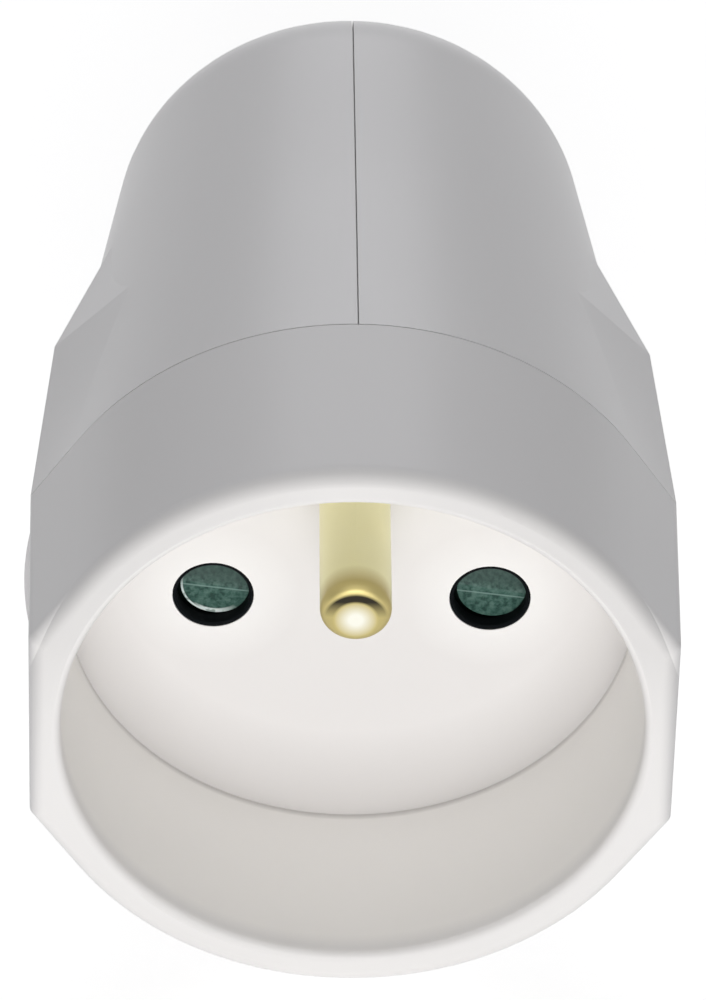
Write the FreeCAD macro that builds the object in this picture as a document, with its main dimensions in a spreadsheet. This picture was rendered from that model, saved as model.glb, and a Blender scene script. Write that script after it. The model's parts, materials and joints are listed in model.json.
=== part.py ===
import FreeCAD, Part
import math
import os
import re
import Sketcher

# In-line socket with a round recess, a male earth pin and shuttered contact holes.
# Millimetres. Origin at the centre of the recess floor, +Y rearwards along the socket, +Z towards the
# earth pin, +X to the right when looking into the recess.

doc = FreeCAD.newDocument("socket_module")
sheet = doc.addObject("Spreadsheet::Sheet", "Sizes")

SIZES = (
    # Front shell
    ("recess_radius", 19.6, "plug recess, radius"),
    ("recess_depth", 15.0, "plug recess, depth to the floor"),
    ("collar_wall", 2.9, "collar wall at the joint"),
    ("flat_inset", 0.5, "side flat, set in from the collar's outside"),
    ("collar_draft", 1.07, "collar's draft towards the rim, degrees"),
    ("flat_half_height", 7.6, "side flat, half height"),
    ("flat_corner_rounding", 0.8, "rounding of the corners beside the flats"),
    ("rim_rounding", 1.1, "rounding of the rim outside"),
    ("rim_inner_rounding", 0.6, "rounding of the rim inside"),
    ("collar_end", 1.0, "collar's rear face behind the recess floor"),
    ("floor_thickness", 2.0, "recess floor, thickness"),
    ("thin_floor", 0.5, "recess floor over the shutter, thickness"),
    ("spigot_setback", 0.2, "spigot, set in from the recess's radius"),
    ("spigot_wall", 2.0, "spigot wall"),
    ("spigot_length", 8.0, "spigot length behind the collar"),
    ("groove_start", 3.5, "retaining groove, distance behind the collar"),
    ("groove_width", 2.0, "retaining groove, width"),
    ("groove_depth", 0.9, "retaining groove, depth"),
    ("key_half_width", 1.5, "key under the spigot, half width"),
    ("key_height", 1.2, "key under the spigot, height"),
    ("key_length", 2.8, "key under the spigot, length behind the collar"),
    # Contact holes and earth pin
    ("contact_pitch", 19.0, "distance between the contact holes"),
    ("plug_pin_radius", 2.4, "the plug's pins, radius"),
    ("entry_gap", 0.1, "round a plug pin in its black ring"),
    ("ring_wall", 0.3, "black ring in a contact hole, wall with its fit"),
    ("entry_chamfer", 0.12, "lead-in of the black ring"),
    ("pin_offset", 10.0, "earth pin above the axis"),
    ("pin_radius", 2.4, "earth pin, radius"),
    ("pin_length", 14.5, "earth pin, length in the recess"),
    ("pin_end_rounding", 0.75, "earth pin, rounding of its end"),
    ("pin_neck_inset", 0.25, "earth pin, neck in the floor, set in from its side"),
    ("pin_neck_rise", 0.1, "earth pin, start of its neck above the floor"),
    ("pin_flange_radius", 4.0, "earth pin, flange radius"),
    ("pin_flange_thickness", 1.2, "earth pin, flange thickness"),
    ("pin_shank_radius", 1.8, "earth pin, shank radius"),
    ("pin_rivet_radius", 2.7, "earth pin, riveted head radius"),
    ("pin_rivet_thickness", 0.8, "earth pin, riveted head thickness"),
    # Shutter
    ("plate_thickness", 0.5, "black plate behind the floor"),
    ("pocket_side_rim", 0.8, "shutter pocket, beside the shutter"),
    ("pocket_rim", 1.5, "shutter pocket, above and below the shutter's channel"),
    ("pocket_corner", 3.5, "shutter pocket, corner rounding"),
    ("shutter_thickness", 2.2, "shutter, thickness"),
    ("shutter_side_lap", 0.8, "shutter tab, overlap beside its hole"),
    ("shutter_lap", 0.6, "shutter tab, overlap above and below its hole"),
    ("shutter_bridge_top", 0.5, "shutter bridge, top below the axis"),
    ("shutter_clearance", 0.4, "between a hole and the shutter pushed down"),
    ("shutter_end_play", 0.3, "left below the shutter at the end of its travel"),
    ("ramp_angle", 29.0, "shutter ramp, angle to the tab's face in degrees"),
    ("ridge_tilt", 10.0, "shutter ramp, tilt of its ridge in degrees"),
    ("moat_width", 0.35, "moat round a ramp's pad, beyond the hole"),
    ("moat_depth", 0.8, "moat round a ramp's pad, depth"),
    ("pad_right", 0.25, "ramp's pad, right of its hole's centre"),
    ("pad_up", 0.1, "ramp's pad, above its hole's centre"),
    ("spring_wire", 0.3, "shutter spring, wire thickness"),
    ("spring_radius", 0.8, "shutter spring, mean radius"),
    ("spring_turns", 7.0, "shutter spring, turns"),
    ("spring_gap", 0.2, "beside the shutter spring in its slot"),
    ("spring_slot_depth", 2.0, "shutter, spring slot depth"),
    # Contact carrier
    ("carrier_flange_gap", 0.2, "round the carrier flange in the spigot"),
    ("carrier_flange_thickness", 2.0, "carrier flange over the bosses, thickness"),
    ("carrier_length", 19.0, "carrier, length behind the floor"),
    ("cavity_wall", 0.8, "carrier block, wall beside the contact cavities"),
    ("cavity_roof", 1.1, "carrier block, wall above and below the contact cavities"),
    ("carrier_rounding", 2.0, "carrier block, rounding of its long edges"),
    ("cavity_start", 3.9, "contact cavity, distance behind the floor"),
    ("guide_gap", 0.3, "round a plug pin on its way into the cavity"),
    ("cover_thickness", 1.5, "carrier cover, thickness"),
    ("barrier_length", 6.5, "barrier beside a terminal, length"),
    ("barrier_thickness", 0.8, "barrier beside a terminal, thickness"),
    ("barrier_half_height", 4.0, "barrier beside a terminal, half height"),
    # Screws of the carrier
    ("boss_radius", 2.5, "screw boss in the front shell, radius"),
    ("boss_height", 5.0, "screw boss in the front shell, height"),
    ("boss_inset", 1.45, "upper bosses, distance from the spigot's inside"),
    ("boss_angle", 41.0, "upper bosses, degrees above the contact holes"),
    ("lower_boss_gap", 0.8, "between the shutter pocket and the lower boss"),
    ("small_screw_radius", 1.1, "carrier and cover screws, radius"),
    ("small_head_radius", 2.2, "carrier and cover screws, head radius"),
    ("small_head_thickness", 1.6, "carrier and cover screws, head thickness"),
    ("small_screw_bite", 4.2, "carrier and cover screws, length in the plastic"),
    # Contacts
    ("contact_wall", 0.85, "contact sleeve, wall"),
    ("contact_gap", 0.05, "round a plug pin in its contact"),
    ("contact_web", 1.4, "between the contact's bore and its neck"),
    ("contact_neck_radius", 2.0, "contact neck, radius"),
    ("contact_neck_length", 2.5, "contact neck inside the terminal block"),
    ("contact_slot_width", 0.8, "slots between the contact's leaves"),
    ("contact_slot_length", 10.0, "slots between the contact's leaves, length"),
    ("contact_lead_in", 0.4, "chamfer of the contact's mouth"),
    ("clip_thickness", 0.45, "contact clip, sheet thickness"),
    ("clip_width", 3.0, "contact clip, width"),
    ("clip_setback", 2.0, "contact clip, distance from the contact's mouth"),
    ("clip_gap", 1.6, "contact clip, open gap"),
    # Terminals
    ("terminal_half_width", 3.5, "terminal block, half width"),
    ("terminal_length", 8.0, "terminal block, length"),
    ("terminal_edge", 0.4, "terminal block, chamfer of its edges"),
    ("earth_terminal_height", 6.2, "earth terminal block, height"),
    ("wire_hole_radius", 1.6, "wire hole, radius"),
    ("wire_hole_depth", 4.9, "wire hole, depth"),
    ("wire_hole_floor", 0.8, "earth terminal block, below its wire hole"),
    ("terminal_screw_setback", 2.6, "terminal screw, distance from the block's rear face"),
    ("terminal_screw_radius", 1.7, "terminal screw, radius"),
    ("terminal_head_radius", 2.7, "terminal screw, head radius"),
    ("terminal_head_thickness", 1.7, "terminal screw, head thickness"),
    ("terminal_screw_reach", 0.6, "terminal screw, tip inside the wire hole"),
    ("screw_slot_width", 0.7, "screwdriver slots, width"),
    ("screw_slot_depth", 0.8, "screwdriver slots, depth"),
    ("head_gap", 0.2, "under the head of a terminal screw"),
    ("strap_thickness", 0.8, "earth strap, thickness"),
    ("strap_half_width", 2.6, "earth strap, half width"),
    ("strap_edge", 0.5, "earth strap, above the pin's riveted head"),
    # Rear shells
    ("shell_wall", 2.0, "rear shells, wall"),
    ("dome_radius", 10.0, "rounding of the rear end"),
    ("dome_centre", 42.0, "rounding's centre behind the recess floor"),
    ("rear_face_radius", 7.0, "rear end's flat face, radius"),
    ("shoulder_start", 18.0, "side flat's shoulder behind the recess floor"),
    ("shoulder_end", 32.0, "side flat's fade-out behind the recess floor"),
    ("shoulder_inset", 1.7, "side flat at the shoulder, set in from the collar's outside"),
    ("shoulder_sink", 0.05, "side facet at the shoulder, below the cone"),
    ("fade_inset", 2.0, "side flat at its fade-out, below the cone"),
    ("fade_sink", 0.5, "side facet at its fade-out, below the cone"),
    ("fade_spread", 0.25, "side facet at its fade-out, beyond the flat's half height"),
    ("joint_gap", 0.12, "between the collar and the rear shells"),
    ("seam_gap", 0.1, "between the two rear shells"),
    ("lip_inset", 0.75, "seam lip, below the housing's outside"),
    ("lip_thickness", 0.6, "seam lip, thickness"),
    ("lip_reach", 0.7, "seam lip, reach past the seam"),
    ("cord_radius", 4.0, "largest cord, radius"),
    ("inlet_gap", 0.5, "round the largest cord in its inlet"),
    ("inlet_wall", 2.0, "cord inlet, wall of its collar"),
    ("inlet_length", 5.5, "cord inlet, length"),
    ("inlet_chamfer", 0.7, "cord inlet, chamfer of its mouth"),
    # Housing screws
    ("front_screw_back", 15.0, "front housing screw behind the recess floor"),
    ("front_screw_inset", 7.45, "front housing screw, below the cone"),
    ("rear_screw_back", 33.0, "rear housing screw behind the recess floor"),
    ("rear_screw_inset", 7.07, "rear housing screw, below the cone"),
    ("housing_boss_radius", 3.4, "housing screw boss, radius"),
    ("housing_screw_radius", 1.45, "housing screws, radius"),
    ("housing_screw_length", 17.0, "housing screws, length under the head"),
    ("housing_head_radius", 2.7, "housing screws, head radius"),
    ("housing_head_thickness", 2.0, "housing screws, head thickness"),
    ("housing_head_seat", 8.5, "housing screws, head seat left of the seam"),
    # Cord clamp
    ("clamp_start", 38.0, "cord clamp behind the recess floor"),
    ("clamp_width", 5.0, "cord clamp, width"),
    ("clamp_overhang", 2.5, "clamp bar, beyond its screws"),
    ("clamp_seat", 2.5, "clamp bar's seat left of the seam"),
    ("clamp_thickness", 3.0, "clamp bar, thickness"),
    ("clamp_screw_gap", 1.6, "between the largest cord and the clamp screws"),
    ("clamp_screw_radius", 1.4, "clamp screws, radius"),
    ("clamp_screw_length", 13.0, "clamp screws, length under the head"),
    ("clamp_head_radius", 2.3, "clamp screws, head radius"),
    ("clamp_head_thickness", 1.6, "clamp screws, head thickness"),
    ("clamp_boss_radius", 2.4, "clamp bosses, radius"),
    ("clamp_ridge", 0.8, "clamp ridges, height"),
    # Clearances
    ("slip", 0.1, "between plastic pieces that slide into each other"),
    ("screw_fit", 0.05, "between a screw or pin and its hole"),
)

ALIASES = {name for name, size, meaning in SIZES}
WORD = re.compile(r"[A-Za-z_]\w*")


def fill_sheet():
    for row, (name, size, meaning) in enumerate(SIZES, start=1):
        sheet.set(f"A{row}", meaning)
        sheet.set(f"B{row}", str(size))
        sheet.setAlias(f"B{row}", name)
    doc.recompute()


def bound(text):
    """The expression with the sheet's name put before each of its aliases."""
    return WORD.sub(lambda word: "Sizes." + word.group() if word.group() in ALIASES else word.group(), text)


def bind(thing, place, text):
    thing.setExpression(place, bound(text))


def value(text):
    found = sheet.evalExpression(bound(text))
    return getattr(found, "Value", found)


# Sizes and places that follow from others, each worked out once
CONTACT_SIDE = "(contact_pitch / 2)"
ENTRY_BORE = "(plug_pin_radius + entry_gap)"
ENTRY_RADIUS = f"({ENTRY_BORE} + ring_wall)"
TAB_HALF_WIDTH = f"({ENTRY_BORE} + shutter_side_lap)"
TAB_HALF_HEIGHT = f"({ENTRY_BORE} + shutter_lap)"
SHUTTER_TRAVEL = f"({TAB_HALF_HEIGHT} + {ENTRY_BORE} + shutter_clearance)"
CHANNEL_BOTTOM = f"({TAB_HALF_HEIGHT} + {SHUTTER_TRAVEL} + shutter_end_play)"
POCKET_HALF_WIDTH = f"({CONTACT_SIDE} + {TAB_HALF_WIDTH} + pocket_side_rim)"
POCKET_TOP = f"({TAB_HALF_HEIGHT} + pocket_rim)"
POCKET_BOTTOM = f"({CHANNEL_BOTTOM} + pocket_rim)"
SPRING_SLOT = "(spring_radius + spring_wire / 2 + spring_gap)"
CONTACT_BORE = "(plug_pin_radius + contact_gap)"
CONTACT_OUTER = f"({CONTACT_BORE} + contact_wall)"
CAVITY_RADIUS = f"({CONTACT_OUTER} + screw_fit + clip_thickness + slip)"
CARRIER_HALF_WIDTH = f"({CONTACT_SIDE} + {CAVITY_RADIUS} + cavity_wall)"
CARRIER_HALF_HEIGHT = f"({CAVITY_RADIUS} + cavity_roof)"
COLLAR_RADIUS = "(recess_radius + collar_wall)"
FLAT_HALF = f"({COLLAR_RADIUS} - flat_inset)"
SPIGOT_RADIUS = "(recess_radius - spigot_setback)"
SPIGOT_INSIDE = f"({SPIGOT_RADIUS} - spigot_wall)"
INLET_RADIUS = "(cord_radius + inlet_gap)"
CLAMP_SCREW = "(cord_radius + clamp_screw_radius + clamp_screw_gap)"
CLAMP_HALF_HEIGHT = f"({CLAMP_SCREW} + clamp_overhang)"
PLATE_FRONT = "thin_floor"
PLATE_BACK = "(thin_floor + plate_thickness)"
SHUTTER_FRONT = f"({PLATE_BACK} + slip)"
SHUTTER_BACK = f"({SHUTTER_FRONT} + shutter_thickness)"
CHANNEL_BACK = f"({SHUTTER_BACK} + slip)"
SPIGOT_END = "(collar_end + spigot_length)"
BOSS_END = "(floor_thickness + boss_height)"
FLANGE_BACK = f"({BOSS_END} + carrier_flange_thickness)"
CARRIER_BACK = "(floor_thickness + carrier_length)"
COVER_BACK = f"({CARRIER_BACK} + cover_thickness)"
TERMINAL_BACK = f"({COVER_BACK} + terminal_length)"
TERMINAL_SCREW = f"({TERMINAL_BACK} - terminal_screw_setback)"
CONTACT_FRONT = "(floor_thickness + cavity_start + slip)"
STRAP_UNDER = CARRIER_HALF_HEIGHT
STRAP_OVER = f"({STRAP_UNDER} + strap_thickness)"
EARTH_TOP = f"({STRAP_OVER} + earth_terminal_height)"
EARTH_WIRE = f"({STRAP_OVER} + wire_hole_floor + wire_hole_radius)"
REAR_END = "(dome_centre + dome_radius)"
SHELL_FRONT = "(collar_end + joint_gap)"
CLAMP_END = "(clamp_start + clamp_width)"
CLAMP_MIDDLE = "(clamp_start + clamp_width / 2)"
CLAMP_HEAD = "(clamp_seat + clamp_thickness)"

# The rear housing's cone: a line from the collar's edge that touches the rounding of the rear end
CONE_DROP = f"({COLLAR_RADIUS} - rear_face_radius)"
CONE_RUN = "(dome_centre - collar_end)"
CONE_SLOPE = (f"tan(atan({CONE_DROP} / {CONE_RUN}) - "
              f"asin(dome_radius / sqrt({CONE_DROP} ^ 2 + {CONE_RUN} ^ 2)))")


def cone_radius(place):
    return f"({COLLAR_RADIUS} - ({place} - collar_end) * {CONE_SLOPE})"


HOUSING_SCREWS = (
    ("front_screw_back", f"({cone_radius('front_screw_back')} - front_screw_inset)"),
    ("rear_screw_back", f"({cone_radius('rear_screw_back')} - rear_screw_inset)"),
)
CLAMP_SCREW_PLACES = (CLAMP_SCREW, f"-{CLAMP_SCREW}")

# Sketch planes and the sign that turns a position along the axis into an attachment offset
ACROSS = ("XZ_Plane", "-")
SIDEWAYS = ("YZ_Plane", "")
LEVEL = ("XY_Plane", "")

# Places that differ by less than this are one place
SAME = 0.001

nodes = []


def new_body(label):
    body = doc.addObject("PartDesign::Body", label)
    body.Label = label
    return body


def finish(piece, label):
    piece.Label = label
    nodes.append(piece)


def sketch(body, name, plane, place="0"):
    """An empty sketch on one of the body's own origin planes, moved to a place along its normal."""
    role, sign = plane
    drawn = body.newObject("Sketcher::SketchObject", name)
    support = [part for part in body.Origin.OriginFeatures if part.Role == role][0]
    drawn.AttachmentSupport = [(support, "")]
    drawn.MapMode = "FlatFace"
    bind(drawn, "AttachmentOffset.Base.z", f"{sign}({place})")
    return drawn


def fix_point(drawn, element, point, across, up):
    """Hold a sketch point at two expressions; the text 0 puts it on the axis itself."""
    for kind, text, axis in (("DistanceX", across, -2), ("DistanceY", up, -1)):
        if text == "0":
            drawn.addConstraint(Sketcher.Constraint("PointOnObject", element, point, axis))
        else:
            held = drawn.addConstraint(Sketcher.Constraint(kind, -1, 1, element, point, value(text)))
            bind(drawn, f"Constraints[{held}]", text)


def circle(drawn, radius, across="0", up="0"):
    centre = FreeCAD.Vector(value(across), value(up), 0)
    shape = Part.Circle(centre, FreeCAD.Vector(0, 0, 1), value(radius))
    element = drawn.addGeometry(shape, False)
    fix_point(drawn, element, 3, across, up)
    held = drawn.addConstraint(Sketcher.Constraint("Radius", element, value(radius)))
    bind(drawn, f"Constraints[{held}]", radius)


def polygon(drawn, corners):
    places = [FreeCAD.Vector(value(across), value(up), 0) for across, up in corners]
    count = len(places)
    first = drawn.GeometryCount
    for step in range(count):
        side = Part.LineSegment(places[step], places[(step + 1) % count])
        drawn.addGeometry(side, False)
    for step in range(count):
        following = first + (step + 1) % count
        drawn.addConstraint(Sketcher.Constraint("Coincident", first + step, 2, following, 1))
        fix_point(drawn, first + step, 1, *corners[step])


def rectangle(drawn, left, right, low, high):
    polygon(drawn, ((left, low), (right, low), (right, high), (left, high)))


def rounded_rectangle(drawn, left, right, low, high, radius):
    """Four sides joined by tangent arcs, anticlockwise from the lower right corner."""
    near = f"{left} + ({radius})"
    far = f"{right} - ({radius})"
    bottom = f"{low} + ({radius})"
    top = f"{high} - ({radius})"
    centres = ((far, bottom), (far, top), (near, top), (near, bottom))
    quarter = math.pi / 2
    arcs = []
    for turn, (across, up) in enumerate(centres, start=3):
        centre = FreeCAD.Vector(value(across), value(up), 0)
        whole = Part.Circle(centre, FreeCAD.Vector(0, 0, 1), value(radius))
        arc = drawn.addGeometry(Part.ArcOfCircle(whole, turn * quarter, (turn + 1) * quarter), False)
        fix_point(drawn, arc, 3, across, up)
        held = drawn.addConstraint(Sketcher.Constraint("Radius", arc, value(radius)))
        bind(drawn, f"Constraints[{held}]", radius)
        arcs.append(arc)
    for before, after in zip(arcs, arcs[1:] + arcs[:1]):
        side = Part.LineSegment(drawn.Geometry[before].EndPoint, drawn.Geometry[after].StartPoint)
        line = drawn.addGeometry(side, False)
        drawn.addConstraint(Sketcher.Constraint("Tangent", before, 2, line, 1))
        drawn.addConstraint(Sketcher.Constraint("Tangent", line, 2, after, 1))


def pad(body, drawn, length, forwards=True):
    """Material from the sketch towards + (forwards) or - along its plane's row axis."""
    feature = body.newObject("PartDesign::Pad", "Pad")
    feature.Profile = drawn
    bind(feature, "Length", length)
    along_normal = drawn.AttachmentSupport[0][0].Role != "XZ_Plane"
    feature.Reversed = forwards != along_normal
    doc.recompute()
    return feature


def pocket(body, drawn, length, forwards=True, both_ways=False):
    """Material taken away from the sketch towards + (forwards) or - along its row axis."""
    before = body.Shape.Volume
    feature = body.newObject("PartDesign::Pocket", "Pocket")
    feature.Profile = drawn
    bind(feature, "Length", length)
    feature.Midplane = both_ways
    along_normal = drawn.AttachmentSupport[0][0].Role != "XZ_Plane"
    feature.Reversed = forwards == along_normal
    doc.recompute()
    if not body.Shape.Volume < before:
        raise ValueError(f"{drawn.Name} cuts nothing")
    return feature


def revolve(body, drawn, cut=False):
    """A full turn of the sketch about its own horizontal axis."""
    kind = "PartDesign::Groove" if cut else "PartDesign::Revolution"
    before = body.Shape.Volume if cut else 0
    feature = body.newObject(kind, "Revolve")
    feature.Profile = drawn
    feature.ReferenceAxis = (drawn, ["H_Axis"])
    feature.Angle = 360
    doc.recompute()
    if cut and not body.Shape.Volume < before:
        raise ValueError(f"{drawn.Name} cuts nothing")
    return feature


def loft(body, first, last):
    feature = body.newObject("PartDesign::AdditiveLoft", "Loft")
    feature.Profile = first
    feature.Sections = [last]
    feature.Ruled = True
    doc.recompute()
    return feature


def edges_where(body, wanted):
    return [f"Edge{number}" for number, edge in enumerate(body.Shape.Edges, start=1) if wanted(edge)]


def soften(body, kind, size, wanted):
    """A fillet or chamfer on the edges of the body's shape that a test picks."""
    base = body.Tip
    feature = body.newObject(f"PartDesign::{kind}", kind)
    feature.Base = (base, edges_where(body, wanted))
    bind(feature, "Radius" if kind == "Fillet" else "Size", size)
    doc.recompute()
    return feature


def lies_at(edge, axis, text):
    """True where the whole edge lies in the plane at that place along X, Y or Z (0, 1 or 2)."""
    place = value(text)
    box = edge.BoundBox
    low = (box.XMin, box.YMin, box.ZMin)[axis]
    high = (box.XMax, box.YMax, box.ZMax)[axis]
    return abs(low - place) < SAME and abs(high - place) < SAME


def runs_along(edge, axis):
    """True for a straight edge along X, Y or Z (0, 1 or 2)."""
    ends = [corner.Point for corner in edge.Vertexes]
    if len(ends) != 2:
        return False
    return abs(abs((ends[1] - ends[0])[axis]) - edge.Length) < SAME


def block(name, left, right, front, back, low, high):
    box = doc.addObject("Part::Box", name)
    bind(box, "Length", f"{right} - ({left})")
    bind(box, "Width", f"{back} - ({front})")
    bind(box, "Height", f"{high} - ({low})")
    bind(box, "Placement.Base.x", left)
    bind(box, "Placement.Base.y", front)
    bind(box, "Placement.Base.z", low)
    return box


TURNS = {
    "x": FreeCAD.Rotation(FreeCAD.Vector(0, 1, 0), 90),
    "y": FreeCAD.Rotation(FreeCAD.Vector(1, 0, 0), -90),
    "z": FreeCAD.Rotation(),
}


def rod(name, along, radius, length, across, back, up):
    """A cylinder that starts at a point and runs towards +X, +Y or +Z."""
    made = doc.addObject("Part::Cylinder", name)
    made.Placement = FreeCAD.Placement(FreeCAD.Vector(), TURNS[along])
    bind(made, "Radius", radius)
    bind(made, "Height", length)
    bind(made, "Placement.Base.x", across)
    bind(made, "Placement.Base.y", back)
    bind(made, "Placement.Base.z", up)
    return made


def joined(name, pieces):
    fused = doc.addObject("Part::MultiFuse", name)
    fused.Shapes = pieces
    return fused


def cut(name, base, tool):
    left_over = doc.addObject("Part::Cut", name)
    left_over.Base = base
    left_over.Tool = tool
    return left_over


def shared(name, one, other):
    overlap = doc.addObject("Part::Common", name)
    overlap.Base = one
    overlap.Tool = other
    return overlap


def collar_outline(body, name, place, radius, flat):
    """The collar's outline: a circle with a flat standing out on each side and facets tangent to it."""
    drawn = sketch(body, name, ACROSS, place)
    big = value(radius)
    side = value(flat)
    half = value("flat_half_height")
    touch = math.atan2(half, side) + math.acos(big / math.hypot(side, half))
    whole = Part.Circle(FreeCAD.Vector(), FreeCAD.Vector(0, 0, 1), big)
    top = drawn.addGeometry(Part.ArcOfCircle(whole, touch, math.pi - touch), False)
    bottom = drawn.addGeometry(Part.ArcOfCircle(whole, math.pi + touch, 2 * math.pi - touch), False)
    for arc in (top, bottom):
        drawn.addConstraint(Sketcher.Constraint("Coincident", arc, 3, -1, 1))
        held = drawn.addConstraint(Sketcher.Constraint("Radius", arc, big))
        bind(drawn, f"Constraints[{held}]", radius)
    # The corner's tangent length, from half of the turn between the flat and the facet
    trim = value("flat_corner_rounding") * math.tan(touch / 2)
    for sign, before, after in ((-1, top, bottom), (1, bottom, top)):
        # Anticlockwise: down the left side from the top arc, or up the right side from the bottom arc
        leaving = FreeCAD.Vector(sign * big * math.cos(touch), -sign * big * math.sin(touch), 0)
        meeting = FreeCAD.Vector(leaving.x, -leaving.y, 0)
        first = FreeCAD.Vector(sign * side, -sign * half, 0)
        second = FreeCAD.Vector(sign * side, sign * half, 0)
        up = (second - first).normalize()
        facet_end = first + (leaving - first).normalize() * trim
        other_start = second + (meeting - second).normalize() * trim
        facet = drawn.addGeometry(Part.LineSegment(leaving, facet_end), False)
        flat_line = drawn.addGeometry(Part.LineSegment(first + up * trim, second - up * trim), False)
        other = drawn.addGeometry(Part.LineSegment(other_start, meeting), False)
        drawn.addConstraint(Sketcher.Constraint("Tangent", before, 2, facet, 1))
        drawn.addConstraint(Sketcher.Constraint("Tangent", other, 2, after, 1))
        turns = ((facet, flat_line, first, -sign), (flat_line, other, second, sign))
        for coming, going, corner, height in turns:
            round_corner(drawn, coming, going, corner, "flat_corner_rounding")
            point = drawn.addGeometry(Part.Point(corner), True)
            fix_point(drawn, point, 1, f"{sign} * {flat}", f"{height} * flat_half_height")
            drawn.addConstraint(Sketcher.Constraint("PointOnObject", point, 1, coming))
            drawn.addConstraint(Sketcher.Constraint("PointOnObject", point, 1, going))
    return drawn


def round_corner(drawn, coming, going, corner, radius):
    """An arc tangent to the end of one line and the start of the next, anticlockwise round the outline."""
    size = value(radius)
    start = drawn.Geometry[coming].EndPoint
    end = drawn.Geometry[going].StartPoint
    into = (corner - start).normalize()
    centre = start + FreeCAD.Vector(-into.y, into.x, 0) * size
    first_angle = math.atan2(start.y - centre.y, start.x - centre.x)
    last_angle = math.atan2(end.y - centre.y, end.x - centre.x)
    whole = Part.Circle(centre, FreeCAD.Vector(0, 0, 1), size)
    arc = drawn.addGeometry(Part.ArcOfCircle(whole, first_angle, last_angle), False)
    drawn.addConstraint(Sketcher.Constraint("Tangent", coming, 2, arc, 1))
    drawn.addConstraint(Sketcher.Constraint("Tangent", arc, 2, going, 1))
    held = drawn.addConstraint(Sketcher.Constraint("Radius", arc, size))
    bind(drawn, f"Constraints[{held}]", radius)


def pocket_outline(drawn, gap):
    """The shutter pocket's outline, drawn in by a gap for the pieces that lie in it."""
    rounded_rectangle(drawn, f"-({POCKET_HALF_WIDTH} - {gap})", f"{POCKET_HALF_WIDTH} - {gap}",
                      f"-({POCKET_BOTTOM} - {gap})", f"{POCKET_TOP} - {gap}", f"pocket_corner - {gap}")


BOSS_SIDE = f"(({SPIGOT_INSIDE} - boss_inset) * cos(boss_angle * 1 deg))"
BOSS_UP = f"(({SPIGOT_INSIDE} - boss_inset) * sin(boss_angle * 1 deg))"
BOSS_DOWN = f"-({POCKET_BOTTOM} + lower_boss_gap + boss_radius)"
BOSSES = ((BOSS_SIDE, BOSS_UP), (f"-{BOSS_SIDE}", BOSS_UP), ("0", BOSS_DOWN))
SIDES = (("left", "-"), ("right", ""))


def recess_profile(body):
    """Half section of the plug recess, its mouth rounded over."""
    drawn = sketch(body, "recess", SIDEWAYS)
    mouth = "-recess_depth"
    turned = "rim_inner_rounding - recess_depth"
    wide = "recess_radius + rim_inner_rounding"
    corners = [FreeCAD.Vector(value(across), value(up), 0) for across, up in (
        (mouth, wide), (turned, "recess_radius"), ("0", "recess_radius"), ("0", "0"), (mouth, "0"))]
    centre = FreeCAD.Vector(value(turned), value(wide), 0)
    whole = Part.Circle(centre, FreeCAD.Vector(0, 0, 1), value("rim_inner_rounding"))
    arc = drawn.addGeometry(Part.ArcOfCircle(whole, math.pi, 3 * math.pi / 2), False)
    lines = [drawn.addGeometry(Part.LineSegment(corners[step], corners[(step + 1) % 5]), False)
             for step in range(1, 5)]
    fix_point(drawn, arc, 3, turned, wide)
    drawn.addConstraint(Sketcher.Constraint("Tangent", arc, 2, lines[0], 1))
    for before, after in zip(lines, lines[1:]):
        drawn.addConstraint(Sketcher.Constraint("Coincident", before, 2, after, 1))
    drawn.addConstraint(Sketcher.Constraint("Coincident", lines[3], 2, arc, 1))
    fix_point(drawn, lines[1], 1, "0", "recess_radius")
    fix_point(drawn, lines[2], 1, "0", "0")
    fix_point(drawn, lines[3], 1, mouth, "0")
    fix_point(drawn, lines[3], 2, mouth, wide)
    return drawn


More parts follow.
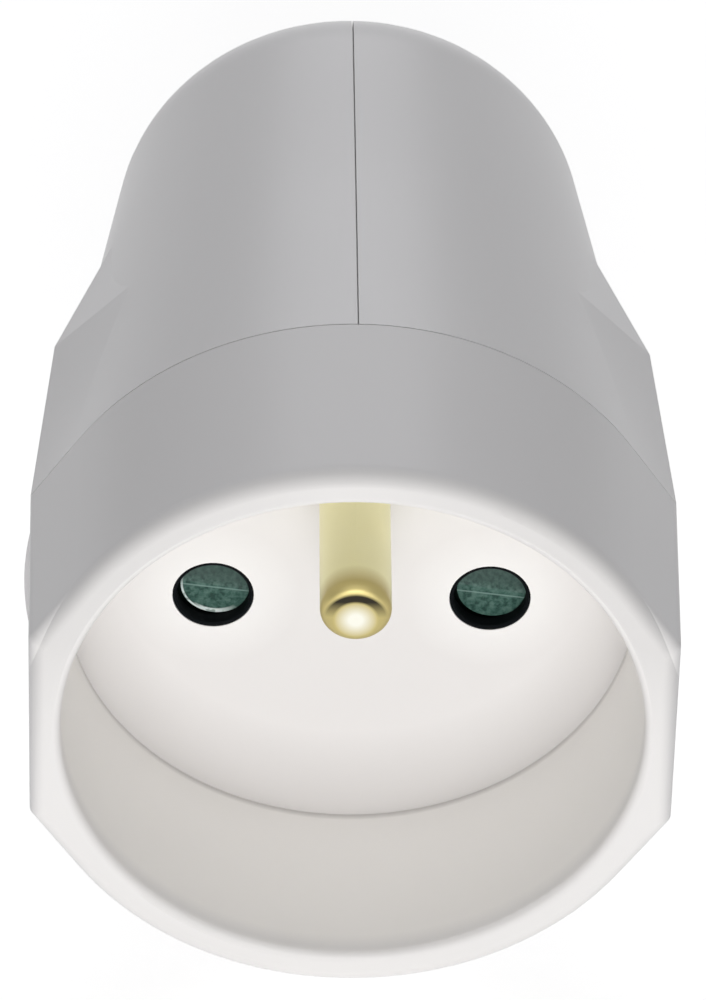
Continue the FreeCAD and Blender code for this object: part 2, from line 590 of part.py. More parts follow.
def front_shell():
    """White collar: plug recess, floor with its holes, and the spigot that the rear shells clasp."""
    body = new_body("front_shell")
    joint = collar_outline(body, "joint_outline", "collar_end", COLLAR_RADIUS, FLAT_HALF)
    collar = pad(body, joint, "recess_depth + collar_end", forwards=False)
    bind(collar, "TaperAngle", "-collar_draft")
    doc.recompute()
    soften(body, "Fillet", "rim_rounding", lambda edge: lies_at(edge, 1, "-recess_depth"))
    revolve(body, recess_profile(body), cut=True)
    spigot = sketch(body, "spigot", ACROSS, "collar_end")
    circle(spigot, SPIGOT_RADIUS)
    pad(body, spigot, "spigot_length")
    key = sketch(body, "key", ACROSS, "collar_end")
    rectangle(key, "-key_half_width", "key_half_width",
              f"-({SPIGOT_RADIUS} + key_height)", f"-({SPIGOT_RADIUS} - spigot_wall / 2)")
    pad(body, key, "key_length")
    hollow = sketch(body, "spigot_hollow", ACROSS, SPIGOT_END)
    circle(hollow, SPIGOT_INSIDE)
    pocket(body, hollow, f"{SPIGOT_END} - floor_thickness", forwards=False)
    groove = sketch(body, "retaining_groove", SIDEWAYS)
    rectangle(groove, "collar_end + groove_start", "collar_end + groove_start + groove_width",
              f"{SPIGOT_RADIUS} - groove_depth", f"{SPIGOT_RADIUS} + groove_depth")
    revolve(body, groove, cut=True)
    bosses = sketch(body, "bosses", ACROSS, "floor_thickness")
    for across, up in BOSSES:
        circle(bosses, "boss_radius", across, up)
    pad(body, bosses, "boss_height")
    pilots = sketch(body, "pilot_holes", ACROSS, BOSS_END)
    for across, up in BOSSES:
        circle(pilots, "small_screw_radius + screw_fit", across, up)
    pocket(body, pilots, "small_screw_bite + head_gap", forwards=False)
    seat = sketch(body, "shutter_pocket", ACROSS, "floor_thickness")
    pocket_outline(seat, "0")
    pocket(body, seat, "floor_thickness - thin_floor", forwards=False)
    holes = sketch(body, "floor_holes", ACROSS, "-thin_floor")
    circle(holes, ENTRY_RADIUS, CONTACT_SIDE)
    circle(holes, ENTRY_RADIUS, f"-{CONTACT_SIDE}")
    circle(holes, "pin_radius + screw_fit", "0", "pin_offset")
    pocket(body, holes, "floor_thickness + 2 * thin_floor")
    finish(body, "front_shell")


def shutter_plate():
    """Black plate behind the floor; its rings line the contact holes, flush with the floor."""
    body = new_body("shutter_plate")
    plate = sketch(body, "plate", ACROSS, PLATE_FRONT)
    pocket_outline(plate, "slip")
    pad(body, plate, "plate_thickness")
    rings = sketch(body, "rings", ACROSS, "0")
    circle(rings, f"{ENTRY_RADIUS} - screw_fit", CONTACT_SIDE)
    circle(rings, f"{ENTRY_RADIUS} - screw_fit", f"-{CONTACT_SIDE}")
    pad(body, rings, "thin_floor")
    bores = sketch(body, "ring_bores", ACROSS, "0")
    circle(bores, ENTRY_BORE, CONTACT_SIDE)
    circle(bores, ENTRY_BORE, f"-{CONTACT_SIDE}")
    pocket(body, bores, PLATE_BACK)
    soften(body, "Chamfer", "entry_chamfer", lambda edge: lies_at(edge, 1, "0")
           and edge.BoundBox.XLength < value(f"2 * {ENTRY_BORE} + screw_fit"))
    finish(body, "shutter_plate")


def shutter_slide():
    """Dark green shutter: over each hole a round pad with a ramp that turns the pin's push downwards."""
    body = new_body("shutter_slide")
    bottom = f"-{TAB_HALF_HEIGHT}"
    inner = f"({CONTACT_SIDE} - {TAB_HALF_WIDTH})"
    outer = f"({CONTACT_SIDE} + {TAB_HALF_WIDTH})"
    slot_top = f"(spring_slot_depth - {TAB_HALF_HEIGHT})"
    outline = sketch(body, "outline", ACROSS, SHUTTER_FRONT)
    half = ((outer, bottom), (outer, TAB_HALF_HEIGHT), (inner, TAB_HALF_HEIGHT),
            (inner, "-shutter_bridge_top"))
    left_half = [(f"-{across}", up) for across, up in reversed(half)]
    slot = ((f"-{SPRING_SLOT}", bottom), (f"-{SPRING_SLOT}", slot_top),
            (SPRING_SLOT, slot_top), (SPRING_SLOT, bottom))
    polygon(outline, [*half, *left_half, *slot])
    pad(body, outline, "shutter_thickness")
    rise = f"(2 * {TAB_HALF_HEIGHT})"
    for side, sign in SIDES:
        ramp = sketch(body, f"{side}_ramp", SIDEWAYS, f"{sign}{CONTACT_SIDE}")
        turn = FreeCAD.Rotation(FreeCAD.Vector(1, 0, 0), value("ridge_tilt"))
        ramp.AttachmentOffset = FreeCAD.Placement(ramp.AttachmentOffset.Base, turn)
        bind(ramp, "AttachmentOffset.Rotation.Angle", "ridge_tilt")
        polygon(ramp, ((SHUTTER_FRONT, "0"), (SHUTTER_FRONT, rise),
                       (f"{SHUTTER_FRONT} + {rise} * tan(ramp_angle * 1 deg)", rise)))
        pocket(body, ramp, f"3 * {TAB_HALF_WIDTH}", both_ways=True)
    moats = sketch(body, "moats", ACROSS, SHUTTER_FRONT)
    for side, sign in SIDES:
        circle(moats, f"{ENTRY_BORE} + moat_width", f"{sign}{CONTACT_SIDE}")
        circle(moats, ENTRY_BORE, f"{sign}{CONTACT_SIDE} + pad_right", "pad_up")
    pocket(body, moats, "moat_depth")
    finish(body, "shutter_slide")


def shutter_spring():
    """Compression spring under the shutter's bridge, wound round an upright axis."""
    body = new_body("shutter_spring")
    height = f"({CHANNEL_BOTTOM} - {TAB_HALF_HEIGHT} + spring_slot_depth - spring_wire)"
    wire = sketch(body, "wire", ACROSS)
    circle(wire, "spring_wire / 2", "spring_radius")
    coil = body.newObject("PartDesign::AdditiveHelix", "Coil")
    coil.Profile = wire
    coil.ReferenceAxis = (wire, ["V_Axis"])
    coil.Mode = "pitch-height-angle"
    bind(coil, "Height", height)
    bind(coil, "Pitch", f"{height} / spring_turns")
    bind(body, "Placement.Base.y", f"({SHUTTER_FRONT} + {SHUTTER_BACK}) / 2")
    bind(body, "Placement.Base.z", f"spring_wire / 2 - {CHANNEL_BOTTOM}")
    doc.recompute()
    finish(body, "shutter_spring")


def carrier_outline(drawn):
    rounded_rectangle(drawn, f"-{CARRIER_HALF_WIDTH}", CARRIER_HALF_WIDTH,
                      f"-{CARRIER_HALF_HEIGHT}", CARRIER_HALF_HEIGHT, "carrier_rounding")


def contact_carrier():
    """Moulded block behind the floor: shutter channel in front, contact cavities in its rear block."""
    body = new_body("contact_carrier")
    nose = sketch(body, "nose", ACROSS, PLATE_BACK)
    pocket_outline(nose, "slip")
    pad(body, nose, f"floor_thickness - {PLATE_BACK}")
    flange = sketch(body, "flange", ACROSS, "floor_thickness")
    circle(flange, f"{SPIGOT_INSIDE} - carrier_flange_gap")
    pad(body, flange, "boss_height + carrier_flange_thickness")
    rear = sketch(body, "rear_block", ACROSS, FLANGE_BACK)
    carrier_outline(rear)
    pad(body, rear, f"{CARRIER_BACK} - {FLANGE_BACK}")
    channel = sketch(body, "channel", ACROSS, PLATE_BACK)
    channel_side = f"({CONTACT_SIDE} + {TAB_HALF_WIDTH} + slip)"
    rectangle(channel, f"-{channel_side}", channel_side, f"-{CHANNEL_BOTTOM}", f"{TAB_HALF_HEIGHT} + slip")
    pocket(body, channel, f"{CHANNEL_BACK} - {PLATE_BACK}")
    bores = sketch(body, "guide_bores", ACROSS, CHANNEL_BACK)
    cavities = sketch(body, "cavities", ACROSS, CARRIER_BACK)
    for side, sign in SIDES:
        circle(bores, "plug_pin_radius + guide_gap", f"{sign}{CONTACT_SIDE}")
        circle(cavities, CAVITY_RADIUS, f"{sign}{CONTACT_SIDE}")
    pocket(body, bores, f"floor_thickness + cavity_start - {CHANNEL_BACK}")
    pocket(body, cavities, "carrier_length - cavity_start", forwards=False)
    boss_seats = sketch(body, "boss_seats", ACROSS, "floor_thickness")
    screw_holes = sketch(body, "screw_holes", ACROSS, BOSS_END)
    for across, up in BOSSES:
        circle(boss_seats, "boss_radius + slip", across, up)
        circle(screw_holes, "small_screw_radius + slip", across, up)
    pocket(body, boss_seats, "boss_height")
    pocket(body, screw_holes, "carrier_flange_thickness")
    pin_seat = sketch(body, "pin_flange_seat", ACROSS, "floor_thickness")
    circle(pin_seat, "pin_flange_radius + slip", "0", "pin_offset")
    pocket(body, pin_seat, "pin_flange_thickness")
    pin_hole = sketch(body, "pin_shank_hole", ACROSS, "floor_thickness")
    circle(pin_hole, "pin_shank_radius + screw_fit", "0", "pin_offset")
    pocket(body, pin_hole, "boss_height + carrier_flange_thickness")
    cover_pilot = sketch(body, "cover_pilot", ACROSS, CARRIER_BACK)
    circle(cover_pilot, "small_screw_radius + screw_fit")
    pocket(body, cover_pilot, "small_screw_bite + head_gap", forwards=False)
    finish(body, "contact_carrier")


def carrier_cover():
    """Closes the cavities behind the contacts; a barrier stands beside each terminal."""
    body = new_body("carrier_cover")
    plate = sketch(body, "plate", ACROSS, CARRIER_BACK)
    carrier_outline(plate)
    pad(body, plate, "cover_thickness")
    holes = sketch(body, "holes", ACROSS, CARRIER_BACK)
    circle(holes, "small_screw_radius + slip")
    barriers = sketch(body, "barriers", ACROSS, COVER_BACK)
    for side, sign in SIDES:
        circle(holes, "contact_neck_radius + screw_fit", f"{sign}{CONTACT_SIDE}")
        near = f"{CONTACT_SIDE} - terminal_half_width - slip"
        inner = f"({near} - barrier_thickness)"
        outer = f"({near})"
        left, right = (inner, outer) if sign == "" else (f"-{outer}", f"-{inner}")
        rectangle(barriers, left, right, "-barrier_half_height", "barrier_half_height")
    pocket(body, holes, "cover_thickness")
    pad(body, barriers, "barrier_length")
    finish(body, "carrier_cover")


def contact(side, sign):
    """Slotted brass sleeve with a flange behind it and a neck for the terminal block."""
    body = new_body(f"{side}_contact")
    profile = sketch(body, "profile", SIDEWAYS)
    flange_front = f"({CARRIER_BACK} - cover_thickness)"
    neck_end = f"{COVER_BACK} + contact_neck_length"
    flange_radius = f"{CAVITY_RADIUS} - slip"
    bore_end = f"{CARRIER_BACK} - contact_web"
    polygon(profile, (
        (CONTACT_FRONT, f"{CONTACT_BORE} + contact_lead_in"),
        (CONTACT_FRONT, CONTACT_OUTER),
        (flange_front, CONTACT_OUTER),
        (flange_front, flange_radius),
        (CARRIER_BACK, flange_radius),
        (CARRIER_BACK, "contact_neck_radius"),
        (neck_end, "contact_neck_radius"),
        (neck_end, "0"),
        (bore_end, "0"),
        (bore_end, CONTACT_BORE),
        (f"{CONTACT_FRONT} + contact_lead_in", CONTACT_BORE),
    ))
    revolve(body, profile)
    past = f"2 * {CONTACT_OUTER}"
    for name, width, height in (("upright_slot", "contact_slot_width / 2", past),
                                ("level_slot", past, "contact_slot_width / 2")):
        slot = sketch(body, name, ACROSS, CONTACT_FRONT)
        rectangle(slot, f"-{width}", width, f"-{height}", height)
        pocket(body, slot, "contact_slot_length")
    bind(body, "Placement.Base.x", f"{sign}{CONTACT_SIDE}")
    finish(body, f"{side}_contact")


def contact_clip(side, sign):
    """Open ring of spring steel round the contact's leaves."""
    body = new_body(f"{side}_contact_clip")
    ring = sketch(body, "ring", ACROSS, f"{CONTACT_FRONT} + clip_setback")
    circle(ring, f"{CONTACT_OUTER} + screw_fit + clip_thickness")
    circle(ring, f"{CONTACT_OUTER} + screw_fit")
    pad(body, ring, "clip_width")
    gap = sketch(body, "gap", ACROSS, f"{CONTACT_FRONT} + clip_setback")
    rectangle(gap, "-clip_gap / 2", "clip_gap / 2", "0", f"2 * {CONTACT_OUTER}")
    pocket(body, gap, "clip_width")
    bind(body, "Placement.Base.x", f"{sign}{CONTACT_SIDE}")
    finish(body, f"{side}_contact_clip")


def terminal_block(label, low, high, wire_up, across, neck):
    """Brass block with a wire hole from behind and a threaded hole from above."""
    body = new_body(label)
    outline = sketch(body, "outline", ACROSS, COVER_BACK)
    rectangle(outline, "-terminal_half_width", "terminal_half_width", low, high)
    pad(body, outline, "terminal_length")
    soften(body, "Chamfer", "terminal_edge", lambda edge: runs_along(edge, 1))
    wire_hole = sketch(body, "wire_hole", ACROSS, TERMINAL_BACK)
    circle(wire_hole, "wire_hole_radius", "0", wire_up)
    pocket(body, wire_hole, "wire_hole_depth", forwards=False)
    screw_hole = sketch(body, "screw_hole", LEVEL, high)
    circle(screw_hole, "terminal_screw_radius + screw_fit", "0", TERMINAL_SCREW)
    pocket(body, screw_hole, f"{high} - {wire_up}", forwards=False)
    if neck:
        neck_hole = sketch(body, "neck_hole", ACROSS, COVER_BACK)
        circle(neck_hole, "contact_neck_radius + screw_fit")
        pocket(body, neck_hole, "contact_neck_length")
    bind(body, "Placement.Base.x", across)
    finish(body, label)


def slotted_head(body, name, across, back, radius, top):
    slot = sketch(body, name, LEVEL, top)
    rectangle(slot, f"{across} - {radius}", f"{across} + {radius}",
              f"{back} - screw_slot_width / 2", f"{back} + screw_slot_width / 2")
    pocket(body, slot, "screw_slot_depth", forwards=False)


def terminal_screw(label, block_top, wire_up, across):
    """Cheese-head screw whose tip presses the wire in its hole."""
    body = new_body(label)
    tip = f"({wire_up} + wire_hole_radius - terminal_screw_reach)"
    seat = f"({block_top} + head_gap)"
    shank = sketch(body, "shank", LEVEL, tip)
    circle(shank, "terminal_screw_radius", "0", TERMINAL_SCREW)
    pad(body, shank, f"{seat} - {tip}")
    head = sketch(body, "head", LEVEL, seat)
    circle(head, "terminal_head_radius", "0", TERMINAL_SCREW)
    pad(body, head, "terminal_head_thickness")
    slotted_head(body, "slot", "0", TERMINAL_SCREW, "terminal_head_radius",
                 f"{seat} + terminal_head_thickness")
    bind(body, "Placement.Base.x", across)
    finish(body, label)


def earth_pin():
    """Solid pin: rounded end, neck in the floor, flange behind it and a shank riveted over the strap."""
    body = new_body("earth_pin")
    profile = sketch(body, "profile", SIDEWAYS)
    flange_back = "(floor_thickness + pin_flange_thickness)"
    rivet_front = f"({FLANGE_BACK} + strap_thickness)"
    rivet_back = f"({rivet_front} + pin_rivet_thickness)"
    polygon(profile, (
        ("-pin_length", "0"),
        ("-pin_length", "pin_radius"),
        ("-pin_neck_rise", "pin_radius"),
        ("-pin_neck_rise", "pin_radius - pin_neck_inset"),
        ("floor_thickness", "pin_radius - pin_neck_inset"),
        ("floor_thickness", "pin_flange_radius"),
        (flange_back, "pin_flange_radius"),
        (flange_back, "pin_shank_radius"),
        (rivet_front, "pin_shank_radius"),
        (rivet_front, "pin_rivet_radius"),
        (rivet_back, "pin_rivet_radius"),
        (rivet_back, "0"),
    ))
    revolve(body, profile)
    soften(body, "Fillet", "pin_end_rounding", lambda edge: lies_at(edge, 1, "-pin_length"))
    bind(body, "Placement.Base.z", "pin_offset")
    finish(body, "earth_pin")


def earth_strap():
    """Brass strip, bent once: riveted to the pin, then back along the carrier under the earth terminal."""
    body = new_body("earth_strap")
    profile = sketch(body, "profile", SIDEWAYS)
    top = "pin_offset + pin_rivet_radius + strap_edge"
    polygon(profile, (
        (FLANGE_BACK, STRAP_UNDER),
        (TERMINAL_BACK, STRAP_UNDER),
        (TERMINAL_BACK, STRAP_OVER),
        (f"{FLANGE_BACK} + strap_thickness", STRAP_OVER),
        (f"{FLANGE_BACK} + strap_thickness", top),
        (FLANGE_BACK, top),
    ))
    strip = body.newObject("PartDesign::Pad", "Strip")
    strip.Profile = profile
    strip.Midplane = True
    bind(strip, "Length", "2 * strap_half_width")
    doc.recompute()
    hole = sketch(body, "rivet_hole", ACROSS, FLANGE_BACK)
    circle(hole, "pin_shank_radius + screw_fit", "0", "pin_offset")
    pocket(body, hole, "strap_thickness")
    finish(body, "earth_strap")


def carrier_screws():
    """Three equal screws through the carrier's flange into the front shell's bosses."""
    screws = []
    for number, (across, up) in enumerate(BOSSES, start=1):
        shank = rod(f"carrier_shank_{number}", "y", "small_screw_radius",
                    "carrier_flange_thickness + small_screw_bite",
                    across, f"{BOSS_END} - small_screw_bite", up)
        head = rod(f"carrier_head_{number}", "y", "small_head_radius", "small_head_thickness",
                   across, FLANGE_BACK, up)
        whole = joined(f"carrier_screw_{number}", [shank, head])
        slot = block(f"carrier_slot_{number}",
                     f"{across} - small_head_radius", f"{across} + small_head_radius",
                     f"{FLANGE_BACK} + small_head_thickness - screw_slot_depth",
                     f"{FLANGE_BACK} + small_head_thickness",
                     f"{up} - screw_slot_width / 2", f"{up} + screw_slot_width / 2")
        screws.append(cut(f"carrier_slotted_{number}", whole, slot))
    group = doc.addObject("Part::Compound", "carrier_screws")
    group.Links = screws
    finish(group, "carrier_screws")


def cover_screw():
    shank = rod("cover_shank", "y", "small_screw_radius", "cover_thickness + small_screw_bite",
                "0", f"{CARRIER_BACK} - small_screw_bite", "0")
    head = rod("cover_head", "y", "small_head_radius", "small_head_thickness", "0", COVER_BACK, "0")
    whole = joined("cover_screw_whole", [shank, head])
    slot = block("cover_slot", "-small_head_radius", "small_head_radius",
                 f"{COVER_BACK} + small_head_thickness - screw_slot_depth",
                 f"{COVER_BACK} + small_head_thickness", "-screw_slot_width / 2", "screw_slot_width / 2")
    finish(cut("cover_screw", whole, slot), "cover_screw")


def housing_profile(body, name, wall):
    """Half section of the rear housing, drawn in by a wall: a cone that runs into the rounded end."""
    drawn = sketch(body, name, SIDEWAYS)
    start = value("collar_end")
    front_radius = value(f"{COLLAR_RADIUS} - {wall}")
    middle = FreeCAD.Vector(value("dome_centre"), value("rear_face_radius"), 0)
    bend = value(f"dome_radius - {wall}")
    # The cone's line touches the rounding: the angle to the touching point follows from the two lengths
    apart = math.hypot(middle.x - start, front_radius - middle.y)
    lean = math.atan2(front_radius - middle.y, middle.x - start)
    touch = math.pi - lean - math.acos(bend / apart)
    whole = Part.Circle(middle, FreeCAD.Vector(0, 0, 1), bend)
    arc = drawn.addGeometry(Part.ArcOfCircle(whole, 0, touch), False)
    shoulder = middle + FreeCAD.Vector(bend * math.cos(touch), bend * math.sin(touch), 0)
    cone = drawn.addGeometry(Part.LineSegment(shoulder, FreeCAD.Vector(start, front_radius, 0)), False)
    front = drawn.addGeometry(Part.LineSegment(FreeCAD.Vector(start, front_radius, 0),
                                               FreeCAD.Vector(start, 0, 0)), False)
    axis = drawn.addGeometry(Part.LineSegment(FreeCAD.Vector(start, 0, 0),
                                              FreeCAD.Vector(middle.x + bend, 0, 0)), False)
    end = drawn.addGeometry(Part.LineSegment(FreeCAD.Vector(middle.x + bend, 0, 0),
                                             FreeCAD.Vector(middle.x + bend, middle.y, 0)), False)
    fix_point(drawn, arc, 3, "dome_centre", "rear_face_radius")
    held = drawn.addConstraint(Sketcher.Constraint("Radius", arc, bend))
    bind(drawn, f"Constraints[{held}]", f"dome_radius - {wall}")
    drawn.addConstraint(Sketcher.Constraint("Tangent", arc, 2, cone, 1))
    drawn.addConstraint(Sketcher.Constraint("Coincident", cone, 2, front, 1))
    drawn.addConstraint(Sketcher.Constraint("Coincident", front, 2, axis, 1))
    drawn.addConstraint(Sketcher.Constraint("Coincident", axis, 2, end, 1))
    drawn.addConstraint(Sketcher.Constraint("Tangent", end, 2, arc, 1))
    fix_point(drawn, front, 1, "collar_end", f"{COLLAR_RADIUS} - {wall}")
    fix_point(drawn, front, 2, "collar_end", "0")
    drawn.addConstraint(Sketcher.Constraint("PointOnObject", axis, 2, -1))
    return drawn


def facet_section(body, name, place, sign, flat, inner, rise):
    """Cross-section of one side of the housing where its flat stands out from the cone."""
    drawn = sketch(body, name, ACROSS, place)
    polygon(drawn, (
        (f"{sign}{inner}", f"-{rise}"),
        (f"{sign}{flat}", "-flat_half_height"),
        (f"{sign}{flat}", "flat_half_height"),
        (f"{sign}{inner}", rise),
    ))
    return drawn


def touching_point(radius, flat):
    """Where a line from the flat's corner touches the housing's circle, across and up."""
    angle = (f"(atan(flat_half_height / {flat}) + "
             f"acos({radius} / sqrt({flat} ^ 2 + flat_half_height ^ 2)))")
    return f"({radius} * cos({angle}))", f"({radius} * sin({angle}))"


def housing_form():
    """The rear housing's outside: cone, rounded end and the two side flats with their shoulders."""
    body = new_body("housing_form")
    revolve(body, housing_profile(body, "outside", "0"))
    flat = f"({COLLAR_RADIUS} - shoulder_inset)"
    radius = f"({cone_radius('shoulder_start')} - shoulder_sink)"
    fade_radius = f"({cone_radius('shoulder_end')} - fade_sink)"
    fade_flat = f"({cone_radius('shoulder_end')} - fade_inset)"
    fade_rise = "(flat_half_height + fade_spread)"
    fade_inner = f"sqrt({fade_radius} ^ 2 - {fade_rise} ^ 2)"
    for side, sign in SIDES:
        front = facet_section(body, f"{side}_front", "collar_end", sign, FLAT_HALF,
                              *touching_point(COLLAR_RADIUS, FLAT_HALF))
        shoulder = ("shoulder_start", sign, flat, *touching_point(radius, flat))
        middle = facet_section(body, f"{side}_shoulder", *shoulder)
        loft(body, front, middle)
        again = facet_section(body, f"{side}_shoulder_again", *shoulder)
        fade = facet_section(body, f"{side}_fade", "shoulder_end", sign, fade_flat, fade_inner, fade_rise)
        loft(body, again, fade)
    return body


def housing_hollow():
    """The space inside the rear housing, wider where it goes over the spigot."""
    body = new_body("housing_hollow")
    revolve(body, housing_profile(body, "inside", "shell_wall"))
    mouth = sketch(body, "spigot_seat", ACROSS, "collar_end")
    circle(mouth, f"{SPIGOT_RADIUS} + slip")
    pad(body, mouth, "spigot_length + slip")
    return body


def seam_lip(name, play):
    """The lip that runs along the seam inside the wall; with some play, the groove that takes it."""
    layers = []
    for place, wall in (("outer", f"(lip_inset - {play})"),
                        ("inner", f"(lip_inset + lip_thickness + {play})")):
        body = new_body(f"{name}_{place}")
        revolve(body, housing_profile(body, f"{name}_{place}_profile", wall))
        layers.append(body)
    reach = f"2 * {COLLAR_RADIUS}"
    strip = block(f"{name}_strip", f"-(lip_reach + {play})", "seam_gap / 2 + slip", SHELL_FRONT,
                  f"{REAR_END} + shell_wall", f"-{reach}", reach)
    return shared(name, cut(f"{name}_layer", *layers), strip)


def rear_shell(side, sign, outside, hollow):
    """One moulded half of the rear housing, with a lip or its groove along the upright seam."""
    reach = f"2 * {COLLAR_RADIUS}"
    left, right = ("seam_gap / 2", reach) if side == "right" else (f"-{reach}", "-seam_gap / 2")
    half = block(f"{side}_half", left, right, SHELL_FRONT, f"{REAR_END} + shell_wall", f"-{reach}", reach)
    skin = shared(f"{side}_skin", outside, half)
    ring_front = "collar_end + groove_start + slip"
    ring_width = "groove_width - 2 * slip"
    ring = cut(f"{side}_ring",
               rod(f"{side}_ring_outside", "y", f"{SPIGOT_RADIUS} + shell_wall / 2", ring_width,
                   "0", ring_front, "0"),
               rod(f"{side}_ring_inside", "y", f"{SPIGOT_RADIUS} - groove_depth + slip", ring_width,
                   "0", ring_front, "0"))
    collar = rod(f"{side}_inlet_collar", "y", f"{INLET_RADIUS} + inlet_wall", "inlet_length",
                 "0", f"{REAR_END} - inlet_length", "0")
    inside = [ring, collar]
    holes = [rod(f"{side}_inlet", "y", INLET_RADIUS, "inlet_length + shell_wall",
                 "0", f"{REAR_END} - inlet_length - slip", "0"),
             mouth_cone(side)]
    for number, (back, down) in enumerate(HOUSING_SCREWS, start=1):
        inside.append(rod(f"{side}_boss_{number}", "x", "housing_boss_radius", "2 * " + reach,
                          f"-{reach}", back, f"-{down}"))
        hole_start = f"-{reach}" if side == "left" else "0"
        hole_length = reach if side == "left" else "housing_screw_length - housing_head_seat + head_gap"
        fit = "slip" if side == "left" else "screw_fit"
        holes.append(rod(f"{side}_screw_hole_{number}", "x", f"housing_screw_radius + {fit}",
                         hole_length, hole_start, back, f"-{down}"))
        if side == "left":
            holes.append(rod(f"{side}_head_hole_{number}", "x", "housing_head_radius + slip",
                             reach, f"-{reach} - housing_head_seat", back, f"-{down}"))
    if side == "right":
        for number, place in enumerate(CLAMP_SCREW_PLACES, start=1):
            inside.append(rod(f"clamp_boss_{number}", "x", "clamp_boss_radius", reach,
                              "-clamp_seat", CLAMP_MIDDLE, place))
            holes.append(rod(f"clamp_hole_{number}", "x", "clamp_screw_radius + screw_fit",
                             "clamp_screw_length - clamp_thickness + head_gap", "-clamp_seat",
                             CLAMP_MIDDLE, place))
        inside.append(saddle())
    holes.append(block(f"{side}_key_slot", "-(key_half_width + slip)", "key_half_width + slip", SHELL_FRONT,
                       "collar_end + key_length + slip", f"-({SPIGOT_RADIUS} + key_height + slip)",
                       f"-({SPIGOT_RADIUS} - spigot_wall / 2)"))
    if side == "left":
        holes.append(seam_lip("lip_groove", "slip"))
    filled = joined(f"{side}_inside", inside)
    empty = cut(f"{side}_empty", hollow, filled)
    shell = cut(f"{side}_shell", skin, empty)
    if side == "right":
        towers = shared("clamp_towers", clamp_towers(), hollow)
        shell = joined("right_shell_with_towers", [shell, towers, seam_lip("lip", "0")])
    drills = joined(f"{side}_drills", holes)
    finish(cut(f"{side}_rear_shell", shell, drills), f"{side}_rear_shell")


def mouth_cone(side):
    """Chamfer of the cord inlet's mouth."""
    cone = doc.addObject("Part::Cone", f"{side}_inlet_mouth")
    cone.Placement = FreeCAD.Placement(FreeCAD.Vector(), TURNS["y"])
    bind(cone, "Radius1", INLET_RADIUS)
    bind(cone, "Radius2", f"{INLET_RADIUS} + 2 * inlet_chamfer")
    bind(cone, "Height", "2 * inlet_chamfer")
    bind(cone, "Placement.Base.y", f"{REAR_END} - inlet_chamfer")
    return cone


def saddle():
    """Ribbed rest on the right of the cord, opposite the clamp bar."""
    slab = block("saddle_slab", "0", f"2 * {COLLAR_RADIUS}", "clamp_start", CLAMP_END,
                 f"-{CLAMP_SCREW}", CLAMP_SCREW)
    room = rod("saddle_room", "y", "cord_radius", "2 * clamp_width", "0", "clamp_start - clamp_width", "0")
    return cut("saddle", slab, room)


def clamp_towers():
    """The ends of the clamp bosses, which reach past the seam to the clamp bar's seat."""
    towers = [rod(f"clamp_tower_{number}", "x", "clamp_boss_radius", "clamp_seat + shell_wall",
                  "-clamp_seat", CLAMP_MIDDLE, place)
              for number, place in enumerate(CLAMP_SCREW_PLACES, start=1)]
    return joined("clamp_tower_pair", towers)


def cord_clamp_bar():
    """Bar with ridges across the cord, held by two screws."""
    bar = block("clamp_bar_blank", f"-{CLAMP_HEAD}", "-clamp_seat", "clamp_start", CLAMP_END,
                f"-{CLAMP_HALF_HEIGHT}", CLAMP_HALF_HEIGHT)
    ridges = []
    for number, place in enumerate(("clamp_width / 4", "3 * clamp_width / 4"), start=1):
        ridges.append(block(f"clamp_ridge_{number}", "-clamp_seat - slip", "clamp_ridge - clamp_seat",
                            f"clamp_start + {place} - clamp_ridge / 2",
                            f"clamp_start + {place} + clamp_ridge / 2",
                            "-cord_radius", "cord_radius"))
    whole = joined("clamp_bar_whole", [bar, *ridges])
    holes = [rod(f"clamp_bar_hole_{number}", "x", "clamp_screw_radius + slip", "2 * clamp_thickness",
                 f"-{CLAMP_HEAD} - clamp_thickness / 2", CLAMP_MIDDLE, place)
             for number, place in enumerate(CLAMP_SCREW_PLACES, start=1)]
    drilled = cut("clamp_bar_drilled", whole, joined("clamp_bar_holes", holes))
    finish(drilled, "cord_clamp_bar")


def side_screws(label, places, radius, length, head_radius, head_thickness, seat):
    """Equal screws along X with their heads on the left, seated at a distance left of the seam."""
    screws = []
    for number, (back, up) in enumerate(places, start=1):
        shank = rod(f"{label}_shank_{number}", "x", radius, length, f"-{seat}", back, up)
        head = rod(f"{label}_head_{number}", "x", head_radius, head_thickness,
                   f"-({seat} + {head_thickness})", back, up)
        whole = joined(f"{label}_whole_{number}", [shank, head])
        slot = block(f"{label}_slot_{number}", f"-({seat} + {head_thickness})",
                     f"-({seat} + {head_thickness} - screw_slot_depth)",
                     f"{back} - {head_radius}", f"{back} + {head_radius}",
                     f"{up} - screw_slot_width / 2", f"{up} + screw_slot_width / 2")
        screws.append(cut(f"{label}_slotted_{number}", whole, slot))
    group = doc.addObject("Part::Compound", label)
    group.Links = screws
    finish(group, label)


def check_and_export():
    doc.recompute()
    for thing in doc.Objects:
        if "Invalid" in thing.State or "Error" in thing.State:
            raise ValueError(f"{thing.Name} ({thing.Label}) failed: {thing.State}")
    for piece in nodes:
        shape = piece.Shape
        if shape.isNull() or not shape.isValid() or not shape.Solids:
            raise ValueError(f"{piece.Label} has no valid solid")
    os.makedirs("parts", exist_ok=True)
    for piece in nodes:
        piece.Shape.exportStep(f"parts/{piece.Label}.step")
        print(piece.Label, len(piece.Shape.Solids), round(piece.Shape.Volume, 2))


